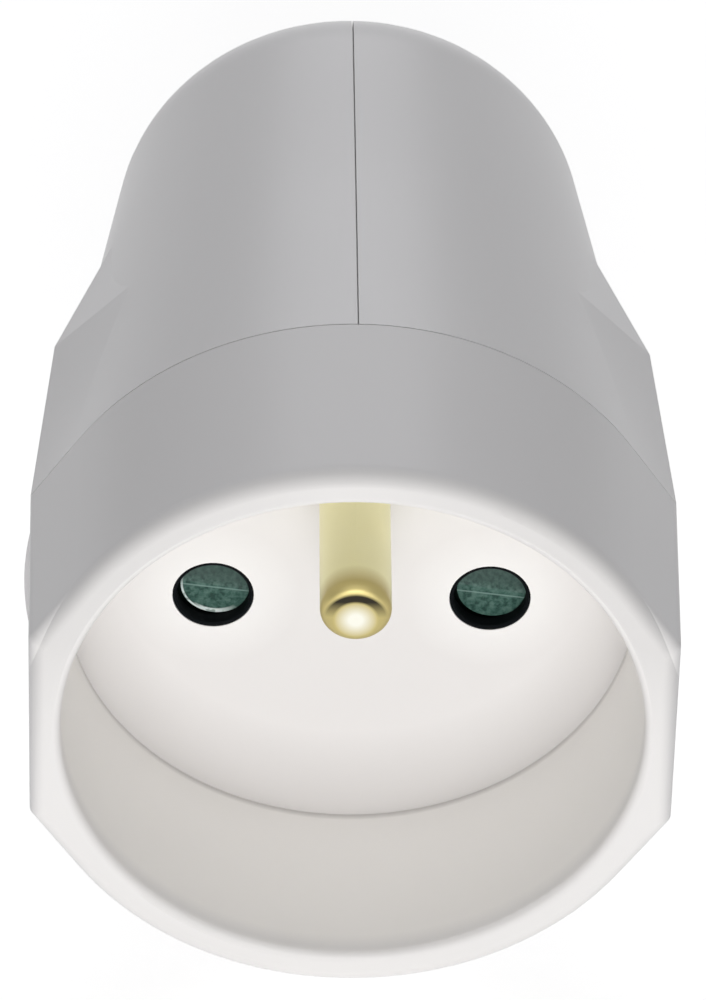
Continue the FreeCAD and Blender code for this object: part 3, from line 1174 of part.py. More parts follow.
fill_sheet()
front_shell()
shutter_plate()
shutter_slide()
shutter_spring()
contact_carrier()
carrier_cover()
for side, sign in SIDES:
    across = f"{sign}{CONTACT_SIDE}"
    contact(side, sign)
    contact_clip(side, sign)
    terminal_block(f"{side}_terminal_block", "-terminal_half_width", "terminal_half_width", "0",
                   across, neck=True)
    terminal_screw(f"{side}_terminal_screw", "terminal_half_width", "0", across)
earth_pin()
earth_strap()
terminal_block("earth_terminal_block", STRAP_OVER, EARTH_TOP, EARTH_WIRE, "0", neck=False)
terminal_screw("earth_terminal_screw", EARTH_TOP, EARTH_WIRE, "0")
carrier_screws()
cover_screw()
outside = housing_form()
hollow = housing_hollow()
for side, sign in SIDES:
    rear_shell(side, sign, outside, hollow)
cord_clamp_bar()
side_screws("cord_clamp_screws", [(CLAMP_MIDDLE, place) for place in CLAMP_SCREW_PLACES],
            "clamp_screw_radius", "clamp_screw_length", "clamp_head_radius", "clamp_head_thickness",
            CLAMP_HEAD)
side_screws("housing_screws", [(back, f"-{down}") for back, down in HOUSING_SCREWS],
            "housing_screw_radius", "housing_screw_length", "housing_head_radius", "housing_head_thickness",
            "housing_head_seat")
check_and_export()
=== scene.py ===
import json
import math

import bmesh
import bpy
from mathutils import Matrix, Vector


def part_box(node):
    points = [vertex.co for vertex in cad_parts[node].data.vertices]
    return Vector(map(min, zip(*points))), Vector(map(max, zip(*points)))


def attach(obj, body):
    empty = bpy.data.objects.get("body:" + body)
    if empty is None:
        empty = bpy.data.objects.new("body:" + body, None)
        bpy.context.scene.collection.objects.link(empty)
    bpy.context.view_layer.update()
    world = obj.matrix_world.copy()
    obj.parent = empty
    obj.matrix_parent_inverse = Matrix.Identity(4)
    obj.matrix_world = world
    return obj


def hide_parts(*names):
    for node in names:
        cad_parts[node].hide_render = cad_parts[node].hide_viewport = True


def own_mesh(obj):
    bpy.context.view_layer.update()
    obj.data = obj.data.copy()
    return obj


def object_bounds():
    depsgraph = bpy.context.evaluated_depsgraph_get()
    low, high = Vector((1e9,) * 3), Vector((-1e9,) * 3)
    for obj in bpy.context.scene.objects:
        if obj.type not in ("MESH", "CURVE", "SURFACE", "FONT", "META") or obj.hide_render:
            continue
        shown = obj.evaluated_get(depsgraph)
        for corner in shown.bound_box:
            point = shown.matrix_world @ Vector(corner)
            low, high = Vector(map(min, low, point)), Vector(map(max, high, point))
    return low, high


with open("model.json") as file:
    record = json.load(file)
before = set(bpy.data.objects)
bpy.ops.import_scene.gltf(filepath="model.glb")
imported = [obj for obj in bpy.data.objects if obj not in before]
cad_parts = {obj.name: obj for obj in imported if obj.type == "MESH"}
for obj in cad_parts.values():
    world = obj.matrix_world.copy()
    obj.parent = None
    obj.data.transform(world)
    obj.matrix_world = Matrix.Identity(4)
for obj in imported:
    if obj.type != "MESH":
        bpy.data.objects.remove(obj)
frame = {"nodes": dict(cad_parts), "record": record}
cad_low, cad_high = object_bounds()
MM = 0.001


# Front shell. One white thermoplastic moulding: the collar with its two side flats, the plug recess and its
# floor. Its skin is smooth with a fine ripple, and the rim's upper half slopes back a little. The rim, the
# recess wall and floor and the ring round each contact hole are painted paler and a little warmer, as
# painted light, and the floor darkens towards its edge as painted shade. The contact carrier is screwed to
# its bosses, and the rear shells clasp its spigot.
WHITE = (0.81, 0.803, 0.812, 1.0)
# The rim, recess floor and wall, the ring round each contact hole and the seam's gap are painted paler than
# the moulding as painted light; the floor's darker edge colour is painted shade.
RIM_PAINTED_LIGHT = (0.94, 0.925, 0.918, 1.0)
RECESS_FLOOR_PAINTED_LIGHT = (0.885, 0.867, 0.862, 1.0)
FLOOR_SHADE = (0.66, 0.642, 0.632, 1.0)
WALL_PAINTED_LIGHT = (0.99, 0.975, 0.96, 1.0)
HOLE_PAINTED_LIGHT = (0.965, 0.955, 0.95, 1.0)
SEAM_PAINTED_LIGHT = (0.97, 0.97, 0.97, 1.0)

mounts = {mount["name"]: mount for mount in frame["record"]["mounts"]}
HOLE_SIDE = mounts["right_contact_entry"]["pos_m"][0]
RIM_FRONT = cad_low.y
RECESS_RADIUS = 19.6 * MM
FLOOR_SHADE_CENTRE = 5 * MM
RIM_SLOPE_DROP = 1.05 * MM

# The two places, or levels of noise, between which a mask goes from one end to the other
RIM_COLOUR_FADE = (RIM_FRONT, RIM_FRONT + 0.9 * MM)
RECESS_MOUTH_FADE = (RIM_FRONT + 0.2 * MM, RIM_FRONT + 2.2 * MM)
RECESS_SIDE_FADE = (RECESS_RADIUS, RECESS_RADIUS + 0.2 * MM)
WALL_FOOT_FADE = (-0.6 * MM, -0.1 * MM)
FLOOR_SHADE_FADE = (17 * MM, 24.5 * MM)
HOLE_HALO_FADE = (2.8 * MM, 6 * MM)
RIM_SLOPE_FADE = (20.1 * MM, 22.2 * MM)
RIM_UPPER_FADE = (-6 * MM, 8 * MM)
SEAM_FADE = (0.055 * MM, 0.08 * MM)
CLOUD_FADE = (0.3, 0.7)


def new_material(name):
    material = bpy.data.materials.new(name)
    material.use_nodes = True
    tree = material.node_tree
    shader = tree.nodes["Principled BSDF"]
    return material, tree, shader


def add(tree, kind, **settings):
    made = tree.nodes.new(kind)
    for name, setting in settings.items():
        setattr(made, name, setting)
    return made


def maths(tree, operation, first, second=None):
    """A Math node; each side is a number or an output socket."""
    made = add(tree, "ShaderNodeMath", operation=operation)
    for place, side in enumerate((first, second)):
        if side is None:
            continue
        if isinstance(side, (int, float)):
            made.inputs[place].default_value = side
        else:
            tree.links.new(side, made.inputs[place])
    return made.outputs[0]


def scaled(colour, factor):
    return tuple(min(1.0, part * factor) for part in colour[:3]) + (1.0,)


def blend_colours(tree, mask, low, high):
    """From the low colour where the mask is 0 to the high one where it is 1; each is a tuple or a socket."""
    made = add(tree, "ShaderNodeMix", data_type="RGBA")
    tree.links.new(mask, made.inputs["Factor"])
    for socket, colour in ((made.inputs[6], low), (made.inputs[7], high)):
        if isinstance(colour, tuple):
            socket.default_value = colour
        else:
            tree.links.new(colour, socket)
    return made.outputs[2]


def ramp(tree, value, low, high, from_low=0.0, from_high=1.0):
    made = add(tree, "ShaderNodeMapRange", clamp=True)
    tree.links.new(value, made.inputs["Value"])
    made.inputs["From Min"].default_value = from_low
    made.inputs["From Max"].default_value = from_high
    made.inputs["To Min"].default_value = low
    made.inputs["To Max"].default_value = high
    return made.outputs["Result"]


def object_place(tree):
    """Object coordinates, which are metres in the shared frame."""
    return add(tree, "ShaderNodeTexCoord").outputs["Object"]


def object_axes(tree):
    split = add(tree, "ShaderNodeSeparateXYZ")
    tree.links.new(object_place(tree), split.inputs["Vector"])
    return split.outputs


def distance_from(tree, place, x, z):
    """Distance from a line along Y through (x, z)."""
    across = maths(tree, "POWER", maths(tree, "SUBTRACT", place["X"], x), 2.0)
    up = maths(tree, "POWER", maths(tree, "SUBTRACT", place["Z"], z), 2.0)
    return maths(tree, "SQRT", maths(tree, "ADD", across, up))


def moulded_skin_group():
    """Fine ripple and slow clouding of a skin, both on object coordinates."""
    group = bpy.data.node_groups.new("moulded_skin", "ShaderNodeTree")
    for name in ("Ripple Scale", "Cloud Scale"):
        group.interface.new_socket(name, in_out="INPUT", socket_type="NodeSocketFloat")
    for name in ("Height", "Cloud"):
        group.interface.new_socket(name, in_out="OUTPUT", socket_type="NodeSocketFloat")
    inlet = add(group, "NodeGroupInput")
    outlet = add(group, "NodeGroupOutput")
    place = object_place(group)
    for scale, detail, result in (("Ripple Scale", 2.0, "Height"), ("Cloud Scale", 3.0, "Cloud")):
        texture = add(group, "ShaderNodeTexNoise")
        texture.inputs["Detail"].default_value = detail
        group.links.new(place, texture.inputs["Vector"])
        group.links.new(inlet.outputs[scale], texture.inputs["Scale"])
        group.links.new(texture.outputs["Fac"], outlet.inputs[result])
    return group


moulded_skin = moulded_skin_group()


def skin(tree, ripple_scale, cloud_scale):
    """The fine ripple's height and the clouding, each from 0 to 1."""
    made = add(tree, "ShaderNodeGroup", node_tree=moulded_skin)
    made.inputs["Ripple Scale"].default_value = ripple_scale
    made.inputs["Cloud Scale"].default_value = cloud_scale
    return made.outputs["Height"], made.outputs["Cloud"]


def rough_and_bumped(tree, shader, cloud, height, roughness, depth):
    """Roughness that follows the clouding, and a bump of the given depth from the height."""
    tree.links.new(ramp(tree, cloud, *roughness, *CLOUD_FADE), shader.inputs["Roughness"])
    bump = add(tree, "ShaderNodeBump")
    bump.inputs["Distance"].default_value = depth
    tree.links.new(height, bump.inputs["Height"])
    tree.links.new(bump.outputs["Normal"], shader.inputs["Normal"])
    return bump


def recess_colours(tree, place, colour):
    """Painted light and shade: the rim, and within the recess its wall, its floor and the ring round each
    contact hole painted paler as light, and the floor darker towards its edge as shade.
    """
    front = ramp(tree, place["Y"], 1.0, 0.0, *RIM_COLOUR_FADE)
    colour = blend_colours(tree, front, colour, RIM_PAINTED_LIGHT)
    shade = ramp(tree, distance_from(tree, place, 0.0, FLOOR_SHADE_CENTRE), 0.0, 1.0, *FLOOR_SHADE_FADE)
    wall = ramp(tree, place["Y"], 1.0, 0.0, *WALL_FOOT_FADE)
    bowl = blend_colours(tree, wall, blend_colours(tree, shade, RECESS_FLOOR_PAINTED_LIGHT, FLOOR_SHADE), WALL_PAINTED_LIGHT)
    # Painted light: the floor is painted paler round each contact hole.
    for side in (-HOLE_SIDE, HOLE_SIDE):
        halo = ramp(tree, distance_from(tree, place, side, 0.0), 1.0, 0.0, *HOLE_HALO_FADE)
        bowl = blend_colours(tree, halo, bowl, HOLE_PAINTED_LIGHT)
    inside = ramp(tree, distance_from(tree, place, 0.0, 0.0), 1.0, 0.0, *RECESS_SIDE_FADE)
    deep = ramp(tree, place["Y"], 0.0, 1.0, *RECESS_MOUTH_FADE)
    return blend_colours(tree, maths(tree, "MULTIPLY", inside, deep), colour, bowl)


def slope_rim(tree, place, bump):
    """A bump, under the ripple's own, that slopes the rim's upper half back towards its outside."""
    out = ramp(tree, distance_from(tree, place, 0.0, 0.0), 0.0, 1.0, *RIM_SLOPE_FADE)
    upper = ramp(tree, place["Z"], 0.0, 1.0, *RIM_UPPER_FADE)
    falling = add(tree, "ShaderNodeBump", invert=True)
    falling.inputs["Distance"].default_value = RIM_SLOPE_DROP
    tree.links.new(maths(tree, "MULTIPLY", out, upper), falling.inputs["Height"])
    tree.links.new(falling.outputs["Normal"], bump.inputs["Normal"])


def white_moulding(name, recess=False, seam=False):
    material, tree, shader = new_material(name)
    place = object_axes(tree)
    ripple, cloud = skin(tree, ripple_scale=700.0, cloud_scale=45.0)
    colour = blend_colours(tree, cloud, WHITE, scaled(WHITE, factor=1.02))
    if recess:
        colour = recess_colours(tree, place, colour)
    if seam:
        # Painted light: the seam's gap is painted paler against its own shadow.
        by_seam = ramp(tree, maths(tree, "ABSOLUTE", place["X"]), 1.0, 0.0, *SEAM_FADE)
        colour = blend_colours(tree, by_seam, colour, SEAM_PAINTED_LIGHT)
    tree.links.new(colour, shader.inputs["Base Color"])
    bump = rough_and_bumped(tree, shader, cloud, ripple, roughness=(0.30, 0.38), depth=0.004 * MM)
    if recess:
        slope_rim(tree, place, bump)
    shader.inputs["Specular IOR Level"].default_value = 0.2
    return material


def dress(material, *nodes):
    for name in nodes:
        for place in frame["nodes"][name].material_slots:
            place.material = material


dress(white_moulding("collar_white", recess=True), "front_shell")


# Shutter plate. A thin black moulding of fine matt polyamide, whose two rings line the contact holes. It
# lies in the pocket behind the recess floor, in front of the shutter.
RING_BLACK = (0.004, 0.005, 0.006, 1.0)


def black_moulding(name, colour, roughness, specular):
    material, tree, shader = new_material(name)
    ripple, cloud = skin(tree, ripple_scale=1500.0, cloud_scale=300.0)
    clouded = blend_colours(tree, cloud, colour, scaled(colour, factor=1.8))
    tree.links.new(clouded, shader.inputs["Base Color"])
    rough_and_bumped(tree, shader, cloud, ripple, roughness, depth=0.006 * MM)
    shader.inputs["Specular IOR Level"].default_value = specular
    return material


dress(black_moulding("ring_black", RING_BLACK, roughness=(0.5, 0.65), specular=0.04), "shutter_plate")


# Shutter. A dark green moulding that slides down behind the plate when both pins push on its ramps. The
# plastic is finely speckled, and its slopes get painted shade that deepens with depth. A painted highlight
# runs along the ridge where each ramp starts, the moat round each pad is painted black as shade, and a
# patchy painted highlight lies on the lower left edge of the left pad.
GREEN = (0.052, 0.122, 0.100, 1.0)
GREEN_PALE = (0.095, 0.180, 0.152, 1.0)
GREEN_DARK = (0.020, 0.058, 0.047, 1.0)
# The ridge and edge colours below are painted highlights, and the moat colour is painted shade.
RIDGE_HIGHLIGHT = (0.22, 0.34, 0.31, 1.0)
EDGE_HIGHLIGHT = (0.80, 0.90, 0.88, 1.0)
MOAT_PAINTED_SHADE = (0.004, 0.008, 0.007, 1.0)

PAD_RIGHT = 0.25 * MM
PAD_UP = 0.1 * MM
PAD_RADIUS = 2.5 * MM
PAD_FRONT = 1.1 * MM
LEFT_PAD = PAD_RIGHT - HOLE_SIDE
RIGHT_PAD = PAD_RIGHT + HOLE_SIDE
RIDGE_HEIGHTS = {LEFT_PAD: -0.22 * MM, RIGHT_PAD: -0.50 * MM}
RIDGE_SLOPE = -0.13
RIDGE_HIGHLIGHT_STRENGTH = 0.75
SLOPE_SHADE_STRENGTH = 0.65
HIGHLIGHT_SLANT = 0.75
LEAST_HIGHLIGHT = 0.35
GREEN_SPECULAR = 0.2
MOAT_SPECULAR = 0.02

# The two places, or levels of noise, between which a mask goes from one end to the other
PALE_FLECK_FADE = (0.50, 0.68)
DARK_FLECK_FADE = (0.34, 0.50)
HIGHLIGHT_PATCH_FADE = (0.38, 0.52)
SLOPE_FADE = (PAD_FRONT + 0.02 * MM, PAD_FRONT + 0.25 * MM)
RIDGE_END_FADE = (PAD_RADIUS, PAD_RADIUS + 0.1 * MM)
HIGHLIGHT_FOOT_FADE = (-2.0 * MM, -1.5 * MM)
HIGHLIGHT_SIDE_FADE = (-9.2 * MM, -7.6 * MM)
MOAT_SIDE_FADE = (PAD_RADIUS - 0.03 * MM, PAD_RADIUS)
MOAT_FRONT_FADE = (PAD_FRONT + 0.04 * MM, PAD_FRONT + 0.1 * MM)


def noise(tree, scale, detail):
    made = add(tree, "ShaderNodeTexNoise")
    made.inputs["Scale"].default_value = scale
    made.inputs["Detail"].default_value = detail
    tree.links.new(object_place(tree), made.inputs["Vector"])
    return made.outputs["Fac"]


def band(tree, value, middle, half_width, fade):
    """1 where the value is within half_width of the middle, fading out over the fade."""
    off = maths(tree, "ABSOLUTE", maths(tree, "SUBTRACT", value, middle))
    return ramp(tree, off, 1.0, 0.0, half_width, half_width + fade)


def speckled_green(tree, place):
    flecks = noise(tree, scale=3200.0, detail=3.0)
    colour = blend_colours(tree, ramp(tree, flecks, 0.0, 1.0, *PALE_FLECK_FADE), GREEN, GREEN_PALE)
    colour = blend_colours(tree, ramp(tree, flecks, 1.0, 0.0, *DARK_FLECK_FADE), colour, GREEN_DARK)
    # Painted shade: the slopes darken as they go deeper.
    slope_shade = ramp(tree, place["Y"], 0.0, SLOPE_SHADE_STRENGTH, *SLOPE_FADE)
    return blend_colours(tree, slope_shade, colour, GREEN_DARK)


def ridge_highlight(tree, place, pad):
    """A painted highlight along the tilted line across a pad where its ramp starts."""
    run = maths(tree, "MULTIPLY", maths(tree, "SUBTRACT", place["X"], pad), RIDGE_SLOPE)
    up = maths(tree, "SUBTRACT", place["Z"], run)
    line = band(tree, up, RIDGE_HEIGHTS[pad], half_width=0.03 * MM, fade=0.05 * MM)
    on_pad = ramp(tree, distance_from(tree, place, pad, PAD_UP), RIDGE_HIGHLIGHT_STRENGTH, 0.0, *RIDGE_END_FADE)
    return maths(tree, "MULTIPLY", line, on_pad)


def edge_highlight(tree, place, from_pad):
    """A patchy painted highlight along the lower left edge of the left pad, thicker at its foot."""
    thin = band(tree, from_pad, PAD_RADIUS - 0.08 * MM, half_width=0.05 * MM, fade=0.05 * MM)
    thick = band(tree, from_pad, PAD_RADIUS - 0.16 * MM, half_width=0.13 * MM, fade=0.08 * MM)
    foot = maths(tree, "MULTIPLY", thick, ramp(tree, place["Z"], 1.0, 0.0, *HIGHLIGHT_FOOT_FADE))
    patches = ramp(tree, noise(tree, scale=2200.0, detail=2.0), LEAST_HIGHLIGHT, 1.0, *HIGHLIGHT_PATCH_FADE)
    edge = maths(tree, "MULTIPLY", maths(tree, "MAXIMUM", thin, foot), patches)
    slant = maths(tree, "ADD", maths(tree, "MULTIPLY", place["X"], HIGHLIGHT_SLANT), place["Z"])
    return maths(tree, "MULTIPLY", edge, ramp(tree, slant, 1.0, 0.0, *HIGHLIGHT_SIDE_FADE))


def shutter_green():
    material, tree, shader = new_material("shutter_green")
    place = object_axes(tree)
    ripple, cloud = skin(tree, ripple_scale=1400.0, cloud_scale=500.0)
    colour = speckled_green(tree, place)
    for pad in (LEFT_PAD, RIGHT_PAD):
        colour = blend_colours(tree, ridge_highlight(tree, place, pad), colour, RIDGE_HIGHLIGHT)
    from_left, from_right = (distance_from(tree, place, pad, PAD_UP) for pad in (LEFT_PAD, RIGHT_PAD))
    colour = blend_colours(tree, edge_highlight(tree, place, from_left), colour, EDGE_HIGHLIGHT)
    # Painted shade: the moat round each pad is painted black, with little specular.
    outside = ramp(tree, maths(tree, "MINIMUM", from_left, from_right), 0.0, 1.0, *MOAT_SIDE_FADE)
    moat = maths(tree, "MULTIPLY", ramp(tree, place["Y"], 0.0, 1.0, *MOAT_FRONT_FADE), outside)
    colour = blend_colours(tree, moat, colour, MOAT_PAINTED_SHADE)
    tree.links.new(colour, shader.inputs["Base Color"])
    rough_and_bumped(tree, shader, cloud, ripple, roughness=(0.35, 0.5), depth=0.006 * MM)
    tree.links.new(ramp(tree, moat, GREEN_SPECULAR, MOAT_SPECULAR), shader.inputs["Specular IOR Level"])
    return material


dress(shutter_green(), "shutter_slide")


# Earth pin, strap, contacts and terminal blocks. All are brass. The pin is turned from solid rod, left
# bright and riveted to the strap behind the floor: its side shows faint turning rings. Its end carries a
# painted highlight on the flat inside a painted dark reflection, and painted shade lies on its rounded edge
# and on its upper side just behind it.
PIN_BRASS = (1.0, 0.95, 0.545, 1.0)
PIN_BRASS_PALE = (1.0, 0.97, 0.63, 1.0)
# The next three colours are painted shade, a painted dark reflection and a painted highlight.
PIN_BRASS_SHADE = (0.62, 0.52, 0.21, 1.0)
PIN_PAINTED_DARK_REFLECTION = (0.02, 0.015, 0.005, 1.0)
PIN_PAINTED_HIGHLIGHT = (0.98, 0.97, 0.86, 1.0)
CONTACT_BRASS = (0.62, 0.46, 0.18, 1.0)
CONTACT_BRASS_PALE = (0.74, 0.58, 0.28, 1.0)

PIN_UP = mounts["earth_pin"]["pos_m"][2]
PIN_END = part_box("earth_pin")[0].y
SHINE_UP = PIN_UP - 0.4 * MM
ARC_RADIUS = 1.8 * MM
ARC_FAINTEST = 0.12

# The two places between which a mask goes from one end to the other
UPPER_SHADE_FADE = (PIN_UP - 0.4 * MM, PIN_UP + 1.4 * MM)
REAR_SHADE_FADE = (PIN_END + 0.8 * MM, PIN_END + 2.4 * MM)
END_FADE = (PIN_END + 0.5 * MM, PIN_END + 0.75 * MM)
ARC_TOP_FADE = (PIN_UP - 0.2 * MM, PIN_UP + 1.1 * MM)
FLAT_FADE = (0.45 * MM, 1.45 * MM)


def pin_colours(tree, place, colour):
    """Painted shade on the pin's upper side behind its end and on the end's edge, then a painted dark
    reflection in an arc and a painted highlight on the flat.
    """
    upper = ramp(tree, place["Z"], 0.0, 1.0, *UPPER_SHADE_FADE)
    rear = ramp(tree, place["Y"], 1.0, 0.0, *REAR_SHADE_FADE)
    colour = blend_colours(tree, maths(tree, "MULTIPLY", rear, upper), colour, PIN_BRASS_SHADE)
    end = ramp(tree, place["Y"], 1.0, 0.0, *END_FADE)
    colour = blend_colours(tree, end, colour, PIN_BRASS_SHADE)
    from_shine = distance_from(tree, place, 0.0, SHINE_UP)
    circle = band(tree, from_shine, ARC_RADIUS, half_width=0.22 * MM, fade=0.2 * MM)
    ring = maths(tree, "MULTIPLY", circle, end)
    arc = maths(tree, "MULTIPLY", ring, ramp(tree, place["Z"], ARC_FAINTEST, 1.0, *ARC_TOP_FADE))
    colour = blend_colours(tree, arc, colour, PIN_PAINTED_DARK_REFLECTION)
    flat = maths(tree, "MULTIPLY", ramp(tree, from_shine, 1.0, 0.0, *FLAT_FADE), end)
    return blend_colours(tree, flat, colour, PIN_PAINTED_HIGHLIGHT)


def brass(name, colour, pale, roughness, metallic, pin=False):
    material, tree, shader = new_material(name)
    ripple, cloud = skin(tree, ripple_scale=900.0, cloud_scale=250.0)
    colour = blend_colours(tree, cloud, colour, pale)
    if pin:
        colour = pin_colours(tree, object_axes(tree), colour)
    tree.links.new(colour, shader.inputs["Base Color"])
    shader.inputs["Metallic"].default_value = metallic
    rings = add(tree, "ShaderNodeTexWave", wave_type="BANDS", bands_direction="Y")
    rings.inputs["Scale"].default_value = 1300.0
    rings.inputs["Distortion"].default_value = 1.5
    tree.links.new(object_place(tree), rings.inputs["Vector"])
    rough_and_bumped(tree, shader, cloud, rings.outputs["Fac"], roughness, depth=0.002 * MM)
    return material


dress(brass("pin_brass", PIN_BRASS, PIN_BRASS_PALE, roughness=(0.36, 0.46), metallic=0.5, pin=True),
      "earth_pin")
dress(brass("contact_brass", CONTACT_BRASS, CONTACT_BRASS_PALE, roughness=(0.22, 0.32), metallic=1.0),
      "earth_strap", "left_contact", "right_contact", "left_terminal_block", "right_terminal_block",
      "earth_terminal_block")


# Carrier, cover and cord clamp. Black glass-filled mouldings that hold the metal parts inside the housing:
# three screws hold the carrier to the front shell, one holds its cover, and two draw the clamp bar in.
INSIDE_BLACK = (0.014, 0.014, 0.015, 1.0)

dress(black_moulding("inside_black", INSIDE_BLACK, roughness=(0.45, 0.6), specular=0.12),
      "contact_carrier", "carrier_cover", "cord_clamp_bar")


# Screws, clips and the spring. Zinc-plated steel screws with slotted heads, and rings and wire of bare
# spring steel, a little darker.
SCREW_STEEL = (0.62, 0.62, 0.60, 1.0)
SPRING_STEEL = (0.42, 0.42, 0.43, 1.0)


def steel(name, colour, roughness):
    material, tree, shader = new_material(name)
    ripple, cloud = skin(tree, ripple_scale=1200.0, cloud_scale=350.0)
    clouded = blend_colours(tree, cloud, scaled(colour, factor=0.85), colour)
    tree.links.new(clouded, shader.inputs["Base Color"])
    shader.inputs["Metallic"].default_value = 1.0
    rough_and_bumped(tree, shader, cloud, ripple, roughness, depth=0.002 * MM)
    return material


dress(steel("screw_steel", SCREW_STEEL, roughness=(0.28, 0.4)),
      "carrier_screws", "cover_screw", "cord_clamp_screws", "housing_screws", "left_terminal_screw",
      "right_terminal_screw", "earth_terminal_screw")
dress(steel("spring_steel", SPRING_STEEL, roughness=(0.3, 0.45)),
      "shutter_spring", "left_contact_clip", "right_contact_clip")


# Shutter spring. Bare spring steel wire wound in seven turns, standing in the shutter's slot. Its mesh is
# copied into a piece of its own that rides with the housing, and the CAD part is hidden.
def closing_spring():
    node = frame["nodes"]["shutter_spring"]
    coil = bpy.data.objects.new("shutter_spring_coil", node.data.copy())
    bpy.context.scene.collection.objects.link(coil)
    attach(coil, "housing")
    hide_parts("shutter_spring")
    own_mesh(coil)


closing_spring()


# Rear shells. Two white mouldings in the collar's plastic. They meet at an upright seam, clasp the front
# shell's
# spigot, and are drawn together by two screws from the left. The faces of the seam's gap are painted paler:
# painted light against its shadow.
dress(white_moulding("housing_white", seam=True), "left_rear_shell", "right_rear_shell")


# Floor, light and camera. A plain pale floor, seen only from above, two soft lights in front of the recess
# and one behind, an even white surround with a dark screen at each side, and a long lens.
FLOOR_HALF_SIZE = 3.0
FLOOR_GAP = 0.02 * MM
FLOOR_GREY = (0.80, 0.80, 0.80, 1.0)
FLOOR_GLOW = 0.20
FLOOR_GLOW_SEEN = 0.62
PURE_WHITE = (1.0, 1.0, 1.0, 1.0)
WARM_LIGHT = (1.0, 0.99, 0.98)
COOL_LIGHT = (0.97, 0.97, 1.0)
SURROUND_LEVEL = 0.45
SCREEN_LEVEL = 0.1
SCREEN_FADE = (0.0, 0.6)

# The camera that was fitted to the photograph
AIM_AZIMUTH = math.radians(-1.258)
AIM_ELEVATION = math.radians(38.659)
CAMERA_ROLL = math.radians(-1.515)
CAMERA_DISTANCE = 511.28 * MM
LENS = 268.28
AIM_BELOW_CENTRE = math.radians(0.7425)
AIM_LEFT_OF_CENTRE = math.radians(0.0108)
CLIP_RANGE = (10 * MM, 20.0)


def seen_directly(tree):
    """1 for the rays that show the background itself, also as metal mirrors it."""
    rays = add(tree, "ShaderNodeLightPath")
    seen = maths(tree, "MAXIMUM", rays.outputs["Is Camera Ray"], rays.outputs["Is Glossy Ray"])
    return maths(tree, "MAXIMUM", seen, rays.outputs["Is Transmission Ray"])


def floor_material():
    """Matt and pale, with a faint glow that is stronger where it is seen directly, and clear from below."""
    material, tree, shader = new_material("pale_floor")
    shader.inputs["Base Color"].default_value = FLOOR_GREY
    shader.inputs["Roughness"].default_value = 0.9
    shader.inputs["Specular IOR Level"].default_value = 0.1
    shader.inputs["Emission Color"].default_value = PURE_WHITE
    glow = ramp(tree, seen_directly(tree), FLOOR_GLOW, FLOOR_GLOW_SEEN)
    tree.links.new(glow, shader.inputs["Emission Strength"])
    see_through = add(tree, "ShaderNodeBsdfTransparent")
    either = add(tree, "ShaderNodeMixShader")
    tree.links.new(add(tree, "ShaderNodeNewGeometry").outputs["Backfacing"], either.inputs["Fac"])
    tree.links.new(shader.outputs["BSDF"], either.inputs[1])
    tree.links.new(see_through.outputs["BSDF"], either.inputs[2])
    tree.links.new(either.outputs["Shader"], tree.nodes["Material Output"].inputs["Surface"])
    return material


def pale_floor():
    mesh = bpy.data.meshes.new("floor")
    shape = bmesh.new()
    bmesh.ops.create_grid(shape, x_segments=1, y_segments=1, size=FLOOR_HALF_SIZE)
    bmesh.ops.translate(shape, verts=shape.verts, vec=(0, 0, cad_low.z - FLOOR_GAP))
    shape.to_mesh(mesh)
    shape.free()
    mesh.materials.append(floor_material())
    floor = bpy.data.objects.new("floor", mesh)
    bpy.context.scene.collection.objects.link(floor)


def soft_light(name, place, size, power, colour):
    """A rectangular lamp that faces the middle of the recess floor."""
    data = bpy.data.lights.new(name, "AREA")
    data.shape = "RECTANGLE"
    data.size, data.size_y = size
    data.energy = power
    data.color = colour
    lamp = bpy.data.objects.new(name, data)
    facing = (-Vector(place)).to_track_quat("-Z", "Y").to_matrix().to_4x4()
    lamp.matrix_world = Matrix.Translation(place) @ facing
    bpy.context.scene.collection.objects.link(lamp)


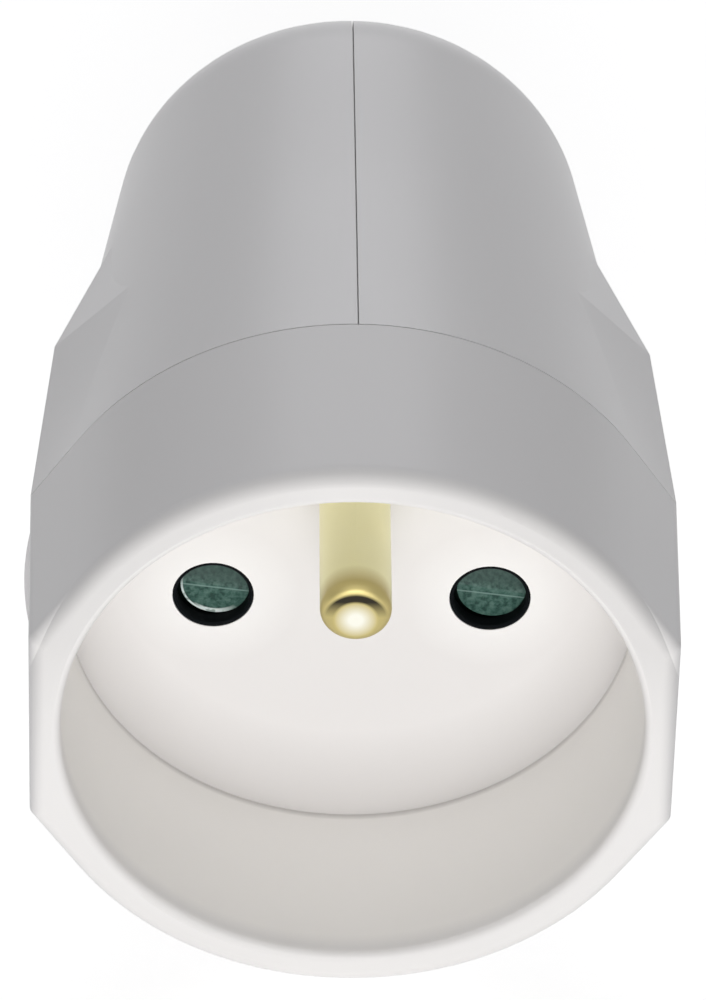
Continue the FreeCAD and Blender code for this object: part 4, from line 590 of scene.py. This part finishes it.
def white_world():
    """Even light from the front, above and behind, falling off to dark screens at both sides."""
    world = bpy.data.worlds.new("studio")
    bpy.context.scene.world = world
    world.use_nodes = True
    tree = world.node_tree
    background = tree.nodes["Background"]
    split = add(tree, "ShaderNodeSeparateXYZ")
    tree.links.new(add(tree, "ShaderNodeTexCoord").outputs["Generated"], split.inputs["Vector"])
    sideways = maths(tree, "POWER", split.outputs["X"], 2.0)
    screens = ramp(tree, sideways, 1.0, SCREEN_LEVEL, *SCREEN_FADE)
    rays = add(tree, "ShaderNodeLightPath")
    seen = maths(tree, "MAXIMUM", rays.outputs["Is Camera Ray"], rays.outputs["Is Transmission Ray"])
    mirrored = maths(tree, "MULTIPLY", rays.outputs["Is Glossy Ray"], screens)
    shining = maths(tree, "MULTIPLY", screens, SURROUND_LEVEL)
    strength = maths(tree, "MAXIMUM", maths(tree, "MAXIMUM", seen, mirrored), shining)
    background.inputs["Color"].default_value = PURE_WHITE
    tree.links.new(strength, background.inputs["Strength"])


def photo_camera():
    """The camera aims at the recess floor's centre, then turns up so that the whole socket is framed."""
    back = Vector((math.sin(AIM_AZIMUTH) * math.cos(AIM_ELEVATION),
                   -math.cos(AIM_AZIMUTH) * math.cos(AIM_ELEVATION), math.sin(AIM_ELEVATION)))
    right = Vector((math.cos(AIM_AZIMUTH), math.sin(AIM_AZIMUTH), 0))
    up = back.cross(right)
    turned_right = right * math.cos(CAMERA_ROLL) - up * math.sin(CAMERA_ROLL)
    turned_up = right * math.sin(CAMERA_ROLL) + up * math.cos(CAMERA_ROLL)
    axes = Matrix((turned_right, turned_up, back)).transposed().to_4x4()
    data = bpy.data.cameras.new("camera")
    data.lens = LENS
    data.clip_start, data.clip_end = CLIP_RANGE
    camera = bpy.data.objects.new("camera", data)
    camera.matrix_world = (Matrix.Translation(back * CAMERA_DISTANCE) @ axes
                           @ Matrix.Rotation(-AIM_LEFT_OF_CENTRE, 4, "Y")
                           @ Matrix.Rotation(AIM_BELOW_CENTRE, 4, "X"))
    bpy.context.scene.collection.objects.link(camera)
    bpy.context.scene.camera = camera


pale_floor()
soft_light("front_light", place=(0.0, -0.9, 0.07), size=(0.8, 0.16), power=2.0, colour=WARM_LIGHT)
soft_light("upper_light", place=(0.0, -0.85, 0.3), size=(0.3, 0.25), power=2.0, colour=WARM_LIGHT)
soft_light("back_light", place=(0.0, 0.9, 0.5), size=(0.6, 0.4), power=2.5, colour=COOL_LIGHT)
white_world()
photo_camera()
bpy.context.scene.view_settings.view_transform = "Standard"
